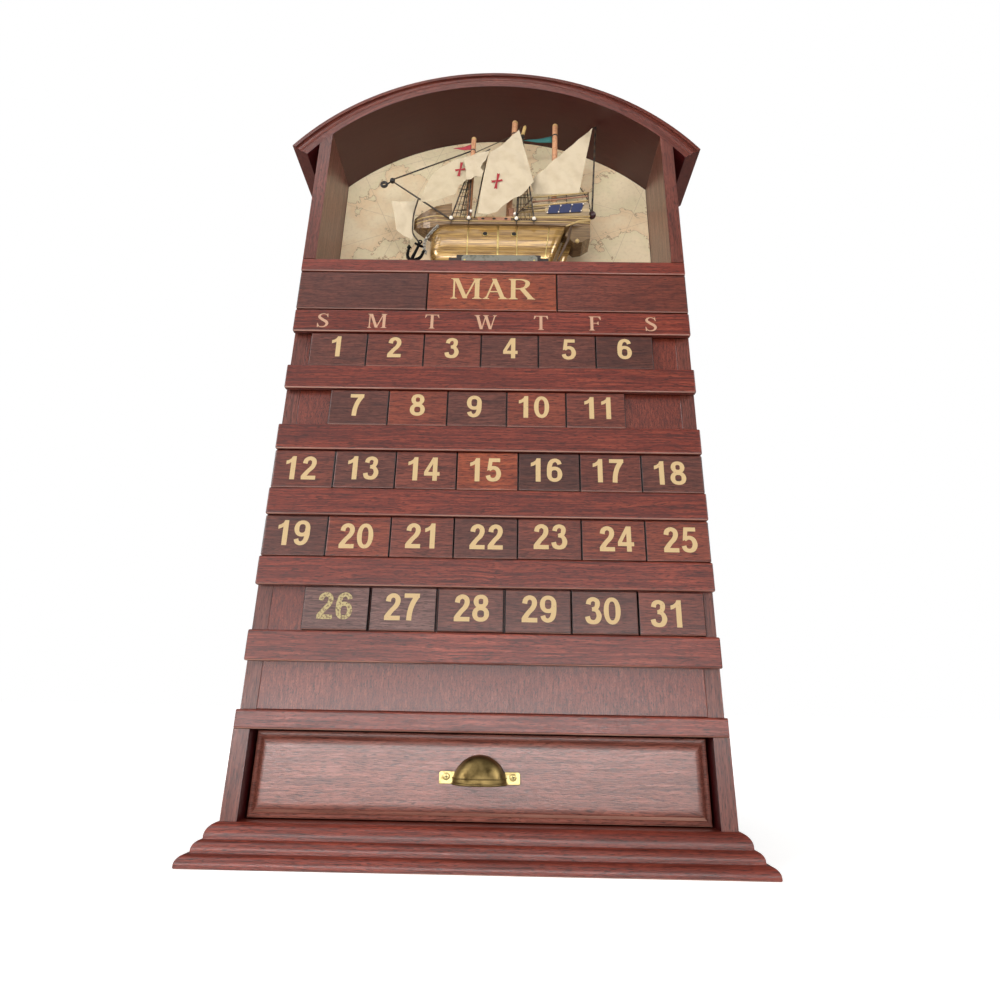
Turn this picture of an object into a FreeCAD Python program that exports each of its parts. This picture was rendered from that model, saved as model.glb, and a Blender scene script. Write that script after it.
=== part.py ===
import FreeCAD, Part

import math
import os
import re

import Sketcher
from FreeCAD import Rotation, Vector

# Desk calendar: a narrow mahogany case on a moulded base. From the floor up it holds a small drawer,
# six channels for sliding date tiles between lipped rails, a channel for month tiles, and a shadow box
# with a model ship under an arched roof. Millimetres. +Z is up and -Y is the front. The origin is the
# middle of the whole object's underside.

# ------------------------------------------------------------------ driving dimensions

SIZES = [
    # the case
    ("case_width", 240.0, "over the two side panels"),
    ("case_depth", 50.0, "front of the rails to the back"),
    ("side_thickness", 8.0, "side panels"),
    ("back_thickness", 4.4, "back panel"),
    ("panel_thickness", 5.0, "calendar panel behind the tiles"),
    ("panel_setback", 5.0, "calendar panel behind the front of the rails"),
    ("end_radius", 0.8, "rounding on the ends of rails and nosings"),
    ("arris_radius", 1.0, "rounding along rails and nosings"),
    # the base and its moulded edge
    ("base_height", 17.0, "base board"),
    ("base_projection", 12.5, "base board beyond the case at the front and sides"),
    ("top_step", 0.6, "flat ledge round the foot of the case"),
    ("upper_nose_out", 4.6, "reach of the upper nosing"),
    ("upper_nose_drop", 5.2, "depth of the upper nosing below the top"),
    ("middle_nose_out", 8.0, "reach of the middle nosing"),
    ("middle_nose_drop", 10.2, "depth of the middle nosing below the top"),
    ("lower_nose_drop", 15.4, "depth of the lower nosing below the top"),
    ("quirk_width", 0.5, "ledge under each nosing"),
    ("quirk_drop", 1.3, "upright under each nosing"),
    ("foot_round", 0.5, "chamfer round the underside"),
    # the drawer
    ("drawer_opening", 40.3, "height of the drawer opening"),
    ("divider_height", 9.0, "board over the drawer"),
    ("front_side_gap", 1.5, "drawer front to side panel"),
    ("front_low_gap", 0.6, "drawer front to base board"),
    ("front_top_gap", 0.8, "drawer front to divider"),
    ("front_thickness", 7.5, "drawer front without its raised field"),
    ("field_rise", 1.5, "raised field above the border"),
    ("field_inset", 2.8, "raised field in from the edges of the drawer front"),
    ("field_radius", 1.1, "rounding of the raised field"),
    ("drawer_setback", 5.5, "raised field behind the front of the case"),
    ("drawer_run_gap", 0.3, "drawer sides above the base board"),
    ("drawer_wall", 6.0, "drawer sides and back"),
    ("drawer_wall_height", 30.0, "drawer sides and back"),
    ("drawer_floor", 3.0, "drawer bottom"),
    ("drawer_floor_rise", 2.5, "drawer bottom above the lower edge of the sides"),
    ("drawer_side_play", 1.7, "drawer side to side panel"),
    ("drawer_back_play", 1.5, "drawer back to back panel"),
    # the cup pull
    ("pull_rise", 17.2, "lower edge of the pull above the base board"),
    ("pull_radius", 13.15, "half the width of the cup"),
    ("pull_reach", 9.5, "cup in front of the drawer"),
    ("pull_rim", 1.5, "straight rim of the cup"),
    ("pull_wall", 1.0, "sheet thickness"),
    ("pull_width", 39.0, "over the two ears"),
    ("ear_height", 5.7, "ears of the pull"),
    ("screw_spacing", 32.0, "between the two screws"),
    ("screw_rise", 3.3, "screws above the lower edge of the pull"),
    ("screw_head", 4.0, "diameter"),
    ("screw_head_height", 1.2, "above the ear"),
    ("screw_shank", 2.0, "diameter"),
    ("screw_length", 7.0, "below the head"),
    ("hole_play", 0.2, "hole in the ear over the shank"),
    # rails, channels and tiles
    ("rail_height", 15.4, "rails"),
    ("row_gap", 23.2, "between two rails"),
    ("month_gap", 28.5, "between the weekday rail and the shelf"),
    ("lip_thickness", 3.0, "front lip of rails and nosings"),
    ("lip_overhang", 2.2, "lip beyond the rib behind it"),
    ("slide_gap", 0.2, "play of a tile in its channel"),
    ("tile_joint", 0.2, "between two tiles in a row"),
    ("tile_reveal", 0.5, "face of a tile to the rail above and below"),
    ("tile_setback", 1.4, "face of a date tile behind the rails"),
    ("month_reveal", 0.8, "face of a month tile to its neighbours above and below"),
    ("month_setback", 0.2, "face of a month tile behind the rails"),
    ("tile_arris", 0.35, "chamfer round the face of a tile"),
    ("row_1_start", 11.4, "left end of the case to the first tile"),
    ("row_2_start", 27.3, "left end of the case to the first tile"),
    ("row_5_start", 26.1, "left end of the case to the first tile"),
    # the shadow box and its roof
    ("shelf_height", 9.4, "floor of the shadow box"),
    ("card_thickness", 0.6, "chart card"),
    ("card_gap", 0.2, "chart card to the box all round"),
    ("soffit_radius", 158.7, "underside of the roof"),
    ("soffit_height", 150.2, "crown of the underside above the shelf"),
    ("roof_thickness", 14.1, "roof"),
    ("roof_half_angle", 53.5, "degrees, roof to each side of the crown"),
    ("roof_flat", 4.6, "flat band on the roof's front edge"),
    ("roof_step", 1.3, "sinking behind the flat band"),
    ("roof_round", 5.4, "half round in the sinking"),
    ("roof_round_rise", 1.0, "half round out of the sinking"),
    ("rim_width", 3.3, "rim along the top of the front edge"),
    ("rim_turn", 0.8, "rounding of the rim, along the depth"),
    # the model ship
    ("ship_setback", 19.0, "ship's centre line behind the front"),
    ("stand_length", 64.0, "stand under the keel"),
    ("stand_front", 13.5, "stand in front of the ship's centre line"),
    ("stand_back", 6.0, "stand behind the ship's centre line"),
    ("stand_height", 6.2, "stand under the keel"),
    ("stand_shift", 3.5, "middle of the stand from the middle of the case"),
    ("plate_length", 54.0, "blank name plate on the stand"),
    ("plate_height", 8.2, "blank name plate on the stand"),
    ("plate_thickness", 0.5, "blank name plate on the stand"),
    ("hull_beam", 20.0, "hull"),
    ("belly_height", 24.0, "round lower hull"),
    ("belly_radius", 8.0, "turn of the bilge and of the bow"),
    ("bow_round", 15.0, "round end of the lower hull, seen from the side"),
    ("strake_height", 12.8, "upper hull, up to the deck"),
    ("bow_place", -55.5, "stem along the ship, from the middle of the case"),
    ("belly_place", -42.0, "front of the lower hull"),
    ("shoulder_place", -38.0, "where the upper hull is full"),
    ("belly_stern_place", 36.0, "end of the keel"),
    ("quarter_place", 46.0, "where the upper hull narrows"),
    ("transom_place", 64.0, "stern"),
    ("transom_inset", 2.5, "stern in from the hull's side"),
    ("rudder_thickness", 2.5, "rudder"),
    ("rudder_length", 8.0, "rudder beyond the lower hull"),
    ("forecastle_length", 26.5, "along the deck"),
    ("forecastle_height", 10.5, "above the deck"),
    ("forecastle_taper", 0.6, "share of its length where it is narrower"),
    ("sterncastle_length", 50.5, "along the deck"),
    ("sterncastle_height", 19.0, "above the deck at the stern"),
    ("sterncastle_step", 11.0, "slope at its front, along the deck"),
    ("sterncastle_front", 4.0, "height of its front"),
    ("sterncastle_sheer", 3.0, "rise of its top towards the stern"),
    ("castle_inset", 2.0, "castles in from the hull's side"),
    ("fore_mast", 3.4, "diameter"),
    ("main_mast", 4.0, "diameter"),
    ("mizzen_mast", 3.8, "diameter"),
    ("fore_place", -16.6, "head of the fore mast along the ship"),
    ("main_place", 13.0, "head of the main mast along the ship"),
    ("mizzen_place", 42.2, "head of the mizzen mast along the ship"),
    ("fore_rake", 1.4, "foot of the fore mast before its head"),
    ("main_rake", 4.0, "foot of the main mast before its head"),
    ("mizzen_rake", 2.0, "foot of the mizzen mast before its head"),
    ("headroom", 11.6, "head of the main mast below the roof"),
    ("fore_drop", 15.8, "head of the fore mast below the main mast's"),
    ("mizzen_drop", 2.6, "head of the mizzen mast below the main mast's"),
    ("fore_lean", 8.5, "degrees, fore sail out towards its foot"),
    ("main_lean", 6.5, "degrees, main sail out towards its foot"),
    ("mizzen_lean", 0.0, "degrees, mizzen sail out towards its foot"),
    ("yard", 1.2, "diameter of yards and bowsprit"),
    ("line", 0.7, "diameter of rigging lines"),
    ("bead", 2.6, "diameter of the dead-eyes"),
    ("stern_knob", 5.2, "diameter of the knob at the stern"),
    ("knob_rise", 11.5, "stern knob above the deck"),
    ("cloth", 0.7, "thickness of the flat sails"),
    ("spar_gap", 0.2, "between masts, yards, sails and lines"),
    ("anchor_spar", 1.2, "diameter of the anchor's shank and arms"),
]
DATE_COLUMNS = 7
MONTH_COLUMNS = 3
DATE_ROWS = 6
# An edge this near to a face or a line, in millimetres, lies on it.
NEAR = 0.001

doc = FreeCAD.newDocument("desk_calendar")
sheet = doc.addObject("Spreadsheet::Sheet", "Sizes")
for row, (alias, value, note) in enumerate(SIZES, start=1):
    sheet.set(f"A{row}", alias)
    sheet.set(f"B{row}", str(value))
    sheet.set(f"C{row}", note)
    sheet.setAlias(f"B{row}", alias)
doc.recompute()

ALIASES = re.compile(r"\b(" + "|".join(alias for alias, _, _ in SIZES) + r")\b")


def ref(text):
    """An expression with every size's name pointed at the sheet."""
    return ALIASES.sub(r"Sizes.\1", text)


def mm(text):
    """The value that an expression of sizes has now."""
    return float(sheet.evalExpression(ref(text)))


# ------------------------------------------------------------------ shared places

HALF = "(case_width / 2)"
INNER = "(case_width / 2 - side_thickness)"
FRONT = "((base_projection - case_depth) / 2)"
REAR = "((base_projection + case_depth) / 2)"
BACK_FACE = f"({REAR} - back_thickness)"
PANEL_FACE = f"({FRONT} + panel_setback)"
OPENING_TOP = "(base_height + drawer_opening)"
DIVIDER_TOP = f"({OPENING_TOP} + divider_height)"
ROW_PITCH = "(row_gap + rail_height)"
WEEKDAY_RAIL = f"({DIVIDER_TOP} + row_gap + {DATE_ROWS - 1} * {ROW_PITCH})"
MONTH_ROW = f"({WEEKDAY_RAIL} + rail_height)"
SHELF_UNDER = f"({MONTH_ROW} + month_gap)"
SHELF_TOP = f"({SHELF_UNDER} + shelf_height)"
ARCH_CENTRE = f"({SHELF_TOP} + soffit_height - soffit_radius)"
FIELD_FACE = f"({FRONT} + drawer_setback)"
FRONT_BACK = f"({FIELD_FACE} + field_rise + front_thickness)"
PULL_FOOT = "(base_height + pull_rise)"
SCREW_LINE = f"({PULL_FOOT} + screw_rise)"
SHIP_LINE = f"({FRONT} + ship_setback)"
KEEL = f"({SHELF_TOP} + stand_height)"
BELLY_TOP = f"({KEEL} + belly_height)"
DECK = f"({BELLY_TOP} + strake_height)"


def row_floor(row):
    """Lower edge of a date row's channel. Row 0 is the top one."""
    return f"({DIVIDER_TOP} + {DATE_ROWS - 1 - row} * {ROW_PITCH})"


def soffit_at(across):
    """Height of the roof's underside at a distance from the middle."""
    return f"({ARCH_CENTRE} + sqrt(soffit_radius ^ 2 - ({across}) ^ 2))"


RIG_HEIGHT = f"({soffit_at('0')} - headroom - {DECK})"

# ------------------------------------------------------------------ helpers

NODES = []


def keep(feature, label):
    """Give a finished sub-part the name that its file has."""
    feature.Label = label
    NODES.append(feature)
    return feature


def bind(feature, **expressions):
    for name, text in expressions.items():
        feature.setExpression(name, ref(text))


def place(feature, x, y, z):
    for axis, text in zip("xyz", (x, y, z)):
        feature.setExpression(f"Placement.Base.{axis}", ref(text))


def board(name, low, extent):
    """A plain board from its low corner and its lengths along X, Y and Z."""
    feature = doc.addObject("Part::Box", name)
    bind(feature, Length=extent[0], Width=extent[1], Height=extent[2])
    place(feature, *low)
    return feature


def compound(name, parts):
    feature = doc.addObject("Part::Compound", name)
    feature.Links = parts
    return feature


def new_body(name):
    return doc.addObject("PartDesign::Body", name)


def arc_between(start, end, radius, turn):
    """The short arc between two points. turn is 1 with its centre on the left of travel, else -1."""
    chord = end - start
    middle = (start + end) / 2
    reach = math.sqrt(max(radius ** 2 - (chord.Length / 2) ** 2, 0.0))
    left = Vector(-chord.y, chord.x, 0).normalize()
    centre = middle + left * reach * turn
    first, last = (start, end) if turn > 0 else (end, start)
    begin = math.atan2(first.y - centre.y, first.x - centre.x)
    finish = math.atan2(last.y - centre.y, last.x - centre.x)
    if finish < begin:
        finish += 2 * math.pi
    circle = Part.Circle(centre, Vector(0, 0, 1), radius)
    return Part.ArcOfCircle(circle, begin, finish)


def outline(body, role, offset, corners, arcs=None, rise="0"):
    """A closed, fully bound sketch on one of the body's origin planes.

    corners are pairs of expressions. arcs gives, for the number of a side, its radius and turn.
    offset is along the plane's axis, and rise moves the sketch's own origin up.
    """
    arcs = arcs or {}
    origin_plane = next(f for f in body.Origin.OriginFeatures if f.Role == role)
    sketch = body.newObject("Sketcher::SketchObject", f"{body.Name}_outline")
    sketch.AttachmentSupport = [(origin_plane, "")]
    sketch.MapMode = "FlatFace"
    sign = "-" if role == "XZ_Plane" else ""
    sketch.setExpression("AttachmentOffset.Base.z", ref(f"{sign}({offset})"))
    sketch.setExpression("AttachmentOffset.Base.y", ref(rise))
    points = [Vector(mm(u), mm(v), 0) for u, v in corners]
    count = len(points)
    for side, start in enumerate(points):
        end = points[(side + 1) % count]
        if side in arcs:
            radius, turn = arcs[side]
            sketch.addGeometry(arc_between(start, end, mm(radius), turn))
        else:
            sketch.addGeometry(Part.LineSegment(start, end))
    for side in range(count):
        following = (side + 1) % count
        start_end = 2 if side in arcs and arcs[side][1] < 0 else 1
        finish_end = 1 if start_end == 2 else 2
        next_start = 2 if following in arcs and arcs[following][1] < 0 else 1
        sketch.addConstraint(Sketcher.Constraint("Coincident", side, finish_end, following, next_start))
        u, v = corners[side]
        for kind, text in (("DistanceX", u), ("DistanceY", v)):
            pin = sketch.addConstraint(Sketcher.Constraint(kind, -1, 1, side, start_end, mm(text)))
            sketch.setExpression(f"Constraints[{pin}]", ref(text))
        if side in arcs:
            pin = sketch.addConstraint(Sketcher.Constraint("Radius", side, mm(arcs[side][0])))
            sketch.setExpression(f"Constraints[{pin}]", ref(arcs[side][0]))
    return sketch


def pad(body, role, start, length, corners, arcs=None):
    """Pad an outline from its plane at start, towards the axis's positive side."""
    feature = body.newObject("PartDesign::Pad", f"{body.Name}_pad")
    feature.Profile = outline(body, role, start, corners, arcs)
    feature.Reversed = role == "XZ_Plane"
    bind(feature, Length=length)
    return feature


def pocket(body, role, start, length, corners, arcs=None):
    """Cut an outline from its plane at start, towards the axis's positive side."""
    doc.recompute()
    before = body.Shape.Volume
    feature = body.newObject("PartDesign::Pocket", f"{body.Name}_pocket")
    feature.Profile = outline(body, role, start, corners, arcs)
    feature.Reversed = role != "XZ_Plane"
    bind(feature, Length=length)
    doc.recompute()
    if body.Shape.Volume > before - NEAR:
        raise RuntimeError(f"{feature.Name} cuts nothing")
    return feature


def revolve(body, rise, angle, corners, arcs):
    """Turn an outline in the YZ plane about the line along Y at a height, evenly to both sides."""
    feature = body.newObject("PartDesign::Revolution", f"{body.Name}_revolution")
    feature.Profile = outline(body, "YZ_Plane", "0", corners, arcs, rise)
    feature.ReferenceAxis = (feature.Profile[0], ["H_Axis"])
    feature.Midplane = True
    bind(feature, Angle=angle)
    return feature


def dress(body, kind, size_name, wanted):
    """Fillet or chamfer the edges of the body's tip that the wanted test picks."""
    doc.recompute()
    base = body.Tip
    edges = [f"Edge{n}" for n, edge in enumerate(base.Shape.Edges, start=1) if wanted(edge)]
    if not edges:
        raise RuntimeError(f"{body.Name} has no edges to dress")
    feature = body.newObject(f"PartDesign::{kind}", f"{body.Name}_{kind.lower()}")
    feature.Base = (base, edges)
    bind(feature, **{"Radius" if kind == "Fillet" else "Size": size_name})
    return feature


def rectangle(low_u, low_v, high_u, high_v):
    return [(low_u, low_v), (high_u, low_v), (high_u, high_v), (low_u, high_v)]


def along(edge, axis):
    """True for a straight edge that runs along an axis, 0 for X, 1 for Y and 2 for Z."""
    box = edge.BoundBox
    extents = [box.XLength, box.YLength, box.ZLength]
    return extents[axis] > NEAR and sum(extents) - extents[axis] < NEAR


def nose_radius(reach, depth):
    """Radius of a nosing that ends upright after a reach outwards and a depth."""
    return f"((({reach}) ^ 2 + ({depth}) ^ 2) / (2 * ({reach})))"


# ------------------------------------------------------------------ base

def moulding():
    """The base's edge from the top down, as reach beyond the case and height, and its arcs' radii."""
    steps = [
        ("top_step", "base_height"),
        ("upper_nose_out", "base_height - upper_nose_drop"),
        ("upper_nose_out", "base_height - upper_nose_drop - quirk_drop"),
        ("upper_nose_out + quirk_width", "base_height - upper_nose_drop - quirk_drop"),
        ("middle_nose_out", "base_height - middle_nose_drop"),
        ("middle_nose_out", "base_height - middle_nose_drop - quirk_drop"),
        ("middle_nose_out + quirk_width", "base_height - middle_nose_drop - quirk_drop"),
        ("base_projection", "base_height - lower_nose_drop"),
        ("base_projection", "foot_round"),
        ("base_projection - foot_round", "0"),
    ]
    radii = {}
    for side in (0, 3, 6):
        (out_a, high_a), (out_b, high_b) = steps[side], steps[side + 1]
        radii[side] = nose_radius(f"{out_b} - ({out_a})", f"{high_a} - ({high_b})")
    return steps, radii


def base_board():
    body = new_body("base_board")
    steps, radii = moulding()
    right = [(f"{HALF} + {out}", height) for out, height in steps]
    left = [(f"-({x})", height) for x, height in reversed(right)]
    last = len(right) + len(left) - 2
    arcs = {side: (radius, -1) for side, radius in radii.items()}
    arcs.update({last - side: (radius, -1) for side, radius in radii.items()})
    pad(body, "XZ_Plane", f"{FRONT} - base_projection", "case_depth + base_projection", right + left, arcs)
    edge = [(f"{FRONT} - ({out})", height) for out, height in steps]
    beyond = f"{FRONT} - base_projection - 2 * quirk_width"
    edge += [(beyond, "0"), (beyond, "base_height")]
    span = f"{HALF} + base_projection"
    arcs = {side: (radius, 1) for side, radius in radii.items()}
    pocket(body, "YZ_Plane", f"-({span})", f"2 * ({span})", edge, arcs)
    return keep(body, "base_board")


# ------------------------------------------------------------------ case

def side_panel(label, side):
    """A side board. Its front edge is set back behind the rails, and its top follows the roof."""
    body = new_body(label)
    top = soffit_at(INNER)
    profile = [
        (FRONT, "base_height"),
        (FRONT, OPENING_TOP),
        (PANEL_FACE, OPENING_TOP),
        (PANEL_FACE, SHELF_TOP),
        (FRONT, SHELF_TOP),
        (FRONT, top),
        (REAR, top),
        (REAR, "base_height"),
    ]
    start = INNER if side > 0 else f"-{HALF}"
    pad(body, "YZ_Plane", start, "side_thickness", profile)
    near = f"({INNER} - end_radius)"
    far = f"({HALF} + end_radius)"
    above = f"{top} + side_thickness"
    corners = [(f"{side} * {near}", soffit_at(near)), (f"{side} * {far}", soffit_at(far)),
               (f"{side} * {far}", above), (f"{side} * {near}", above)]
    pocket(body, "XZ_Plane", FRONT, "case_depth", corners, {0: ("soffit_radius", -side)})
    return keep(body, label)


def nosed_board(label, floor, height, groove_floor):
    """A board across the case with a nosing over its full width, grooved behind for the tiles."""
    body = new_body(label)
    plan = [
        (f"-{HALF}", FRONT), (HALF, FRONT), (HALF, PANEL_FACE), (INNER, PANEL_FACE),
        (INNER, BACK_FACE), (f"-{INNER}", BACK_FACE), (f"-{INNER}", PANEL_FACE), (f"-{HALF}", PANEL_FACE),
    ]
    pad(body, "XY_Plane", floor, height, plan)
    groove = rectangle(f"{FRONT} + lip_thickness", groove_floor, PANEL_FACE, f"{groove_floor} + lip_overhang")
    pocket(body, "YZ_Plane", f"-{HALF}", "case_width", groove)
    front = mm(FRONT)
    dress(body, "Fillet", "arris_radius", lambda e: along(e, 0) and abs(e.BoundBox.YMin - front) < NEAR)
    return keep(body, label)


def calendar_panel():
    extent = (f"2 * {INNER}", "panel_thickness", f"{SHELF_UNDER} - {DIVIDER_TOP}")
    return keep(board("calendar_panel", (f"-{INNER}", PANEL_FACE, DIVIDER_TOP), extent), "calendar_panel")


def arched_sheet(label, floor, front, thickness, gap):
    """A sheet that fills the case's width from a floor up to the roof, less a gap."""
    body = new_body(label)
    half = f"({INNER} - {gap})"
    radius = f"(soffit_radius - {gap})"
    shoulder = f"({ARCH_CENTRE} + sqrt({radius} ^ 2 - {half} ^ 2))"
    corners = [(f"-{half}", floor), (half, floor), (half, shoulder), (f"-{half}", shoulder)]
    pad(body, "XZ_Plane", front, thickness, corners, {2: (radius, 1)})
    return keep(body, label)


def arch_roof():
    """The curved roof, with a flat band, a half round and a rim along its front edge."""
    body = new_body("arch_roof")
    band = "soffit_radius + roof_flat"
    sunk = f"{FRONT} + roof_step"
    rim = "soffit_radius + roof_thickness"
    corners = [
        (FRONT, "soffit_radius"),
        (FRONT, band),
        (sunk, band),
        (sunk, f"{band} + roof_round"),
        (sunk, f"{rim} - rim_width"),
        (FRONT, f"{rim} - rim_width"),
        (f"{FRONT} + rim_turn", rim),
        (REAR, rim),
        (REAR, "soffit_radius"),
    ]
    arcs = {2: (nose_radius("roof_round_rise", "roof_round / 2"), -1),
            5: (nose_radius("rim_turn", "rim_width"), -1)}
    revolve(body, ARCH_CENTRE, "2 * roof_half_angle", corners, arcs)
    return keep(body, "arch_roof")


def rail(name, floor):
    """A rail: a rib on the calendar panel with a lip standing over the channels above and below."""
    body = new_body(name)
    lip_back = f"({FRONT} + lip_thickness)"
    top = f"{floor} + rail_height"
    profile = [
        (f"{FRONT} + arris_radius", floor),
        (lip_back, floor),
        (lip_back, f"{floor} + lip_overhang"),
        (PANEL_FACE, f"{floor} + lip_overhang"),
        (PANEL_FACE, f"{top} - lip_overhang"),
        (lip_back, f"{top} - lip_overhang"),
        (lip_back, top),
        (f"{FRONT} + arris_radius", top),
        (FRONT, f"{top} - arris_radius"),
        (FRONT, f"{floor} + arris_radius"),
    ]
    arcs = {7: ("arris_radius", 1), 9: ("arris_radius", 1)}
    pad(body, "YZ_Plane", f"-{HALF}", "case_width", profile, arcs)
    front = mm(FRONT)
    dress(body, "Fillet", "end_radius", lambda e: along(e, 2) and abs(e.BoundBox.YMin - front) < NEAR)
    return body


def rails():
    keep(rail("weekday_rail", WEEKDAY_RAIL), "weekday_rail")
    parts = [rail(f"tile_rail_{n + 1}", f"({row_floor(n)} - rail_height)") for n in range(DATE_ROWS - 1)]
    keep(compound("tile_rails", parts), "tile_rails")


# ------------------------------------------------------------------ tiles

def tile(label, left, width, floor, gap, setback, reveal):
    """A tile with a flange behind the lips above and below, and a face between them."""
    body = new_body(label)
    back = f"({PANEL_FACE} - slide_gap)"
    shoulder = f"({FRONT} + lip_thickness + slide_gap)"
    face = f"({FRONT} + {setback})"
    low = f"({floor} - lip_overhang + slide_gap)"
    high = f"({floor} + {gap} + lip_overhang - slide_gap)"
    face_low = f"({floor} + {reveal})"
    face_high = f"({floor} + {gap} - {reveal})"
    profile = [
        (back, low), (back, high), (shoulder, high), (shoulder, face_high),
        (face, face_high), (face, face_low), (shoulder, face_low), (shoulder, low),
    ]
    pad(body, "YZ_Plane", left, width, profile)
    front = mm(face)
    dress(body, "Chamfer", "tile_arris", lambda e: abs(e.BoundBox.YMax - front) < NEAR)
    return keep(body, label)


# Rows of date tiles from the top: the row's place, its first date, how many tiles, and where it starts.
DATE_TILES = [(0, 1, 6, "row_1_start"), (1, 7, 5, "row_2_start"), (2, 12, 7, "0"), (3, 19, 7, "0"),
              (4, 26, 6, "row_5_start")]
# Tiles of the last row that stand a little apart from the tile on their left, in millimetres.
LOOSE_TILES = {27: 0.7, 28: 0.7, 29: 0.5, 30: 0.2, 31: 0.2}


def date_tiles():
    pitch = f"(case_width / {DATE_COLUMNS})"
    for row, first, count, start in DATE_TILES:
        drift = 0.0
        for column in range(count):
            date = first + column
            drift += LOOSE_TILES.get(date, 0.0)
            left = f"({start} - {HALF} + {column} * {pitch} + {drift} + tile_joint / 2)"
            tile(f"date_tile_{date:02d}", left, f"{pitch} - tile_joint", row_floor(row), "row_gap",
                 "tile_setback", "tile_reveal")


def month_tiles():
    pitch = f"(case_width / {MONTH_COLUMNS})"
    for column, label in enumerate(("blank_tile_left", "month_tile", "blank_tile_right")):
        left = f"({column} * {pitch} - {HALF} + tile_joint / 2)"
        tile(label, left, f"{pitch} - tile_joint", MONTH_ROW, "month_gap", "month_setback", "month_reveal")


# ------------------------------------------------------------------ drawer

def hole(body, role, start, length, u, v, diameter):
    """A round hole from a plane at start, towards the axis's positive side."""
    doc.recompute()
    before = body.Shape.Volume
    origin_plane = next(f for f in body.Origin.OriginFeatures if f.Role == role)
    sketch = body.newObject("Sketcher::SketchObject", f"{body.Name}_hole_centre")
    sketch.AttachmentSupport = [(origin_plane, "")]
    sketch.MapMode = "FlatFace"
    sign = "-" if role == "XZ_Plane" else ""
    sketch.setExpression("AttachmentOffset.Base.z", ref(f"{sign}({start})"))
    sketch.addGeometry(Part.Circle(Vector(mm(u), mm(v), 0), Vector(0, 0, 1), mm(diameter) / 2))
    for kind, text in (("DistanceX", u), ("DistanceY", v)):
        pin = sketch.addConstraint(Sketcher.Constraint(kind, -1, 1, 0, 3, mm(text)))
        sketch.setExpression(f"Constraints[{pin}]", ref(text))
    pin = sketch.addConstraint(Sketcher.Constraint("Diameter", 0, mm(diameter)))
    sketch.setExpression(f"Constraints[{pin}]", ref(diameter))
    feature = body.newObject("PartDesign::Pocket", f"{body.Name}_hole")
    feature.Profile = sketch
    feature.Reversed = role != "XZ_Plane"
    bind(feature, Length=length)
    doc.recompute()
    if body.Shape.Volume > before - NEAR:
        raise RuntimeError(f"{feature.Name} cuts nothing")


def drawer_front():
    body = new_body("drawer_front")
    half = f"({INNER} - front_side_gap)"
    low = "(base_height + front_low_gap)"
    high = f"({OPENING_TOP} - front_top_gap)"
    border = rectangle(f"-{half}", low, half, high)
    pad(body, "XZ_Plane", f"{FIELD_FACE} + field_rise", "front_thickness", border)
    inner = f"({half} - field_inset)"
    field = rectangle(f"-{inner}", f"{low} + field_inset", inner, f"{high} - field_inset")
    pad(body, "XZ_Plane", FIELD_FACE, "field_rise", field)
    face = mm(FIELD_FACE)
    dress(body, "Fillet", "field_radius", lambda e: abs(e.BoundBox.YMax - face) < NEAR)
    for side in (-1, 1):
        hole(body, "XZ_Plane", FIELD_FACE, "screw_length", f"{side} * screw_spacing / 2", SCREW_LINE,
             "screw_shank")
    return keep(body, "drawer_front")


def drawer_box():
    outer = f"({INNER} - drawer_side_play)"
    low = "(base_height + drawer_run_gap)"
    rear = f"({BACK_FACE} - drawer_back_play)"
    length = f"({rear} - {FRONT_BACK})"
    height = "drawer_wall_height"
    for label, x in (("drawer_left_side", f"-{outer}"), ("drawer_right_side", f"{outer} - drawer_wall")):
        keep(board(label, (x, FRONT_BACK, low), ("drawer_wall", length, height)), label)
    inner = f"({outer} - drawer_wall)"
    keep(board("drawer_back", (f"-{inner}", f"{rear} - drawer_wall", low),
               (f"2 * {inner}", "drawer_wall", height)), "drawer_back")
    keep(board("drawer_bottom", (f"-{inner}", FRONT_BACK, f"{low} + drawer_floor_rise"),
               (f"2 * {inner}", f"{length} - drawer_wall", "drawer_floor")), "drawer_bottom")


def cup_pull():
    """A half-dome cup, open below, with an ear at each side."""
    body = new_body("cup_pull")
    ears = rectangle("-pull_width / 2", PULL_FOOT, "pull_width / 2", f"{PULL_FOOT} + ear_height")
    pad(body, "XZ_Plane", f"{FIELD_FACE} - pull_wall", "pull_wall", ears)
    rim = f"({FIELD_FACE} - pull_rim)"
    tip = f"({FIELD_FACE} - pull_reach)"
    corners = [
        (FIELD_FACE, "pull_radius"),
        (FIELD_FACE, "pull_radius - pull_wall"),
        (rim, "pull_radius - pull_wall"),
        (f"{tip} + pull_wall", "0"),
        (tip, "0"),
        (rim, "pull_radius"),
    ]
    bulge = "pull_reach - pull_rim"
    arcs = {2: (nose_radius(f"{bulge} - pull_wall", "pull_radius - pull_wall"), 1),
            4: (nose_radius(bulge, "pull_radius"), -1)}
    revolve(body, PULL_FOOT, "180", corners, arcs)
    for side in (-1, 1):
        hole(body, "XZ_Plane", f"{FIELD_FACE} - pull_wall", "pull_wall", f"{side} * screw_spacing / 2",
             SCREW_LINE, "screw_shank + hole_play")
    return keep(body, "cup_pull")


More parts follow.
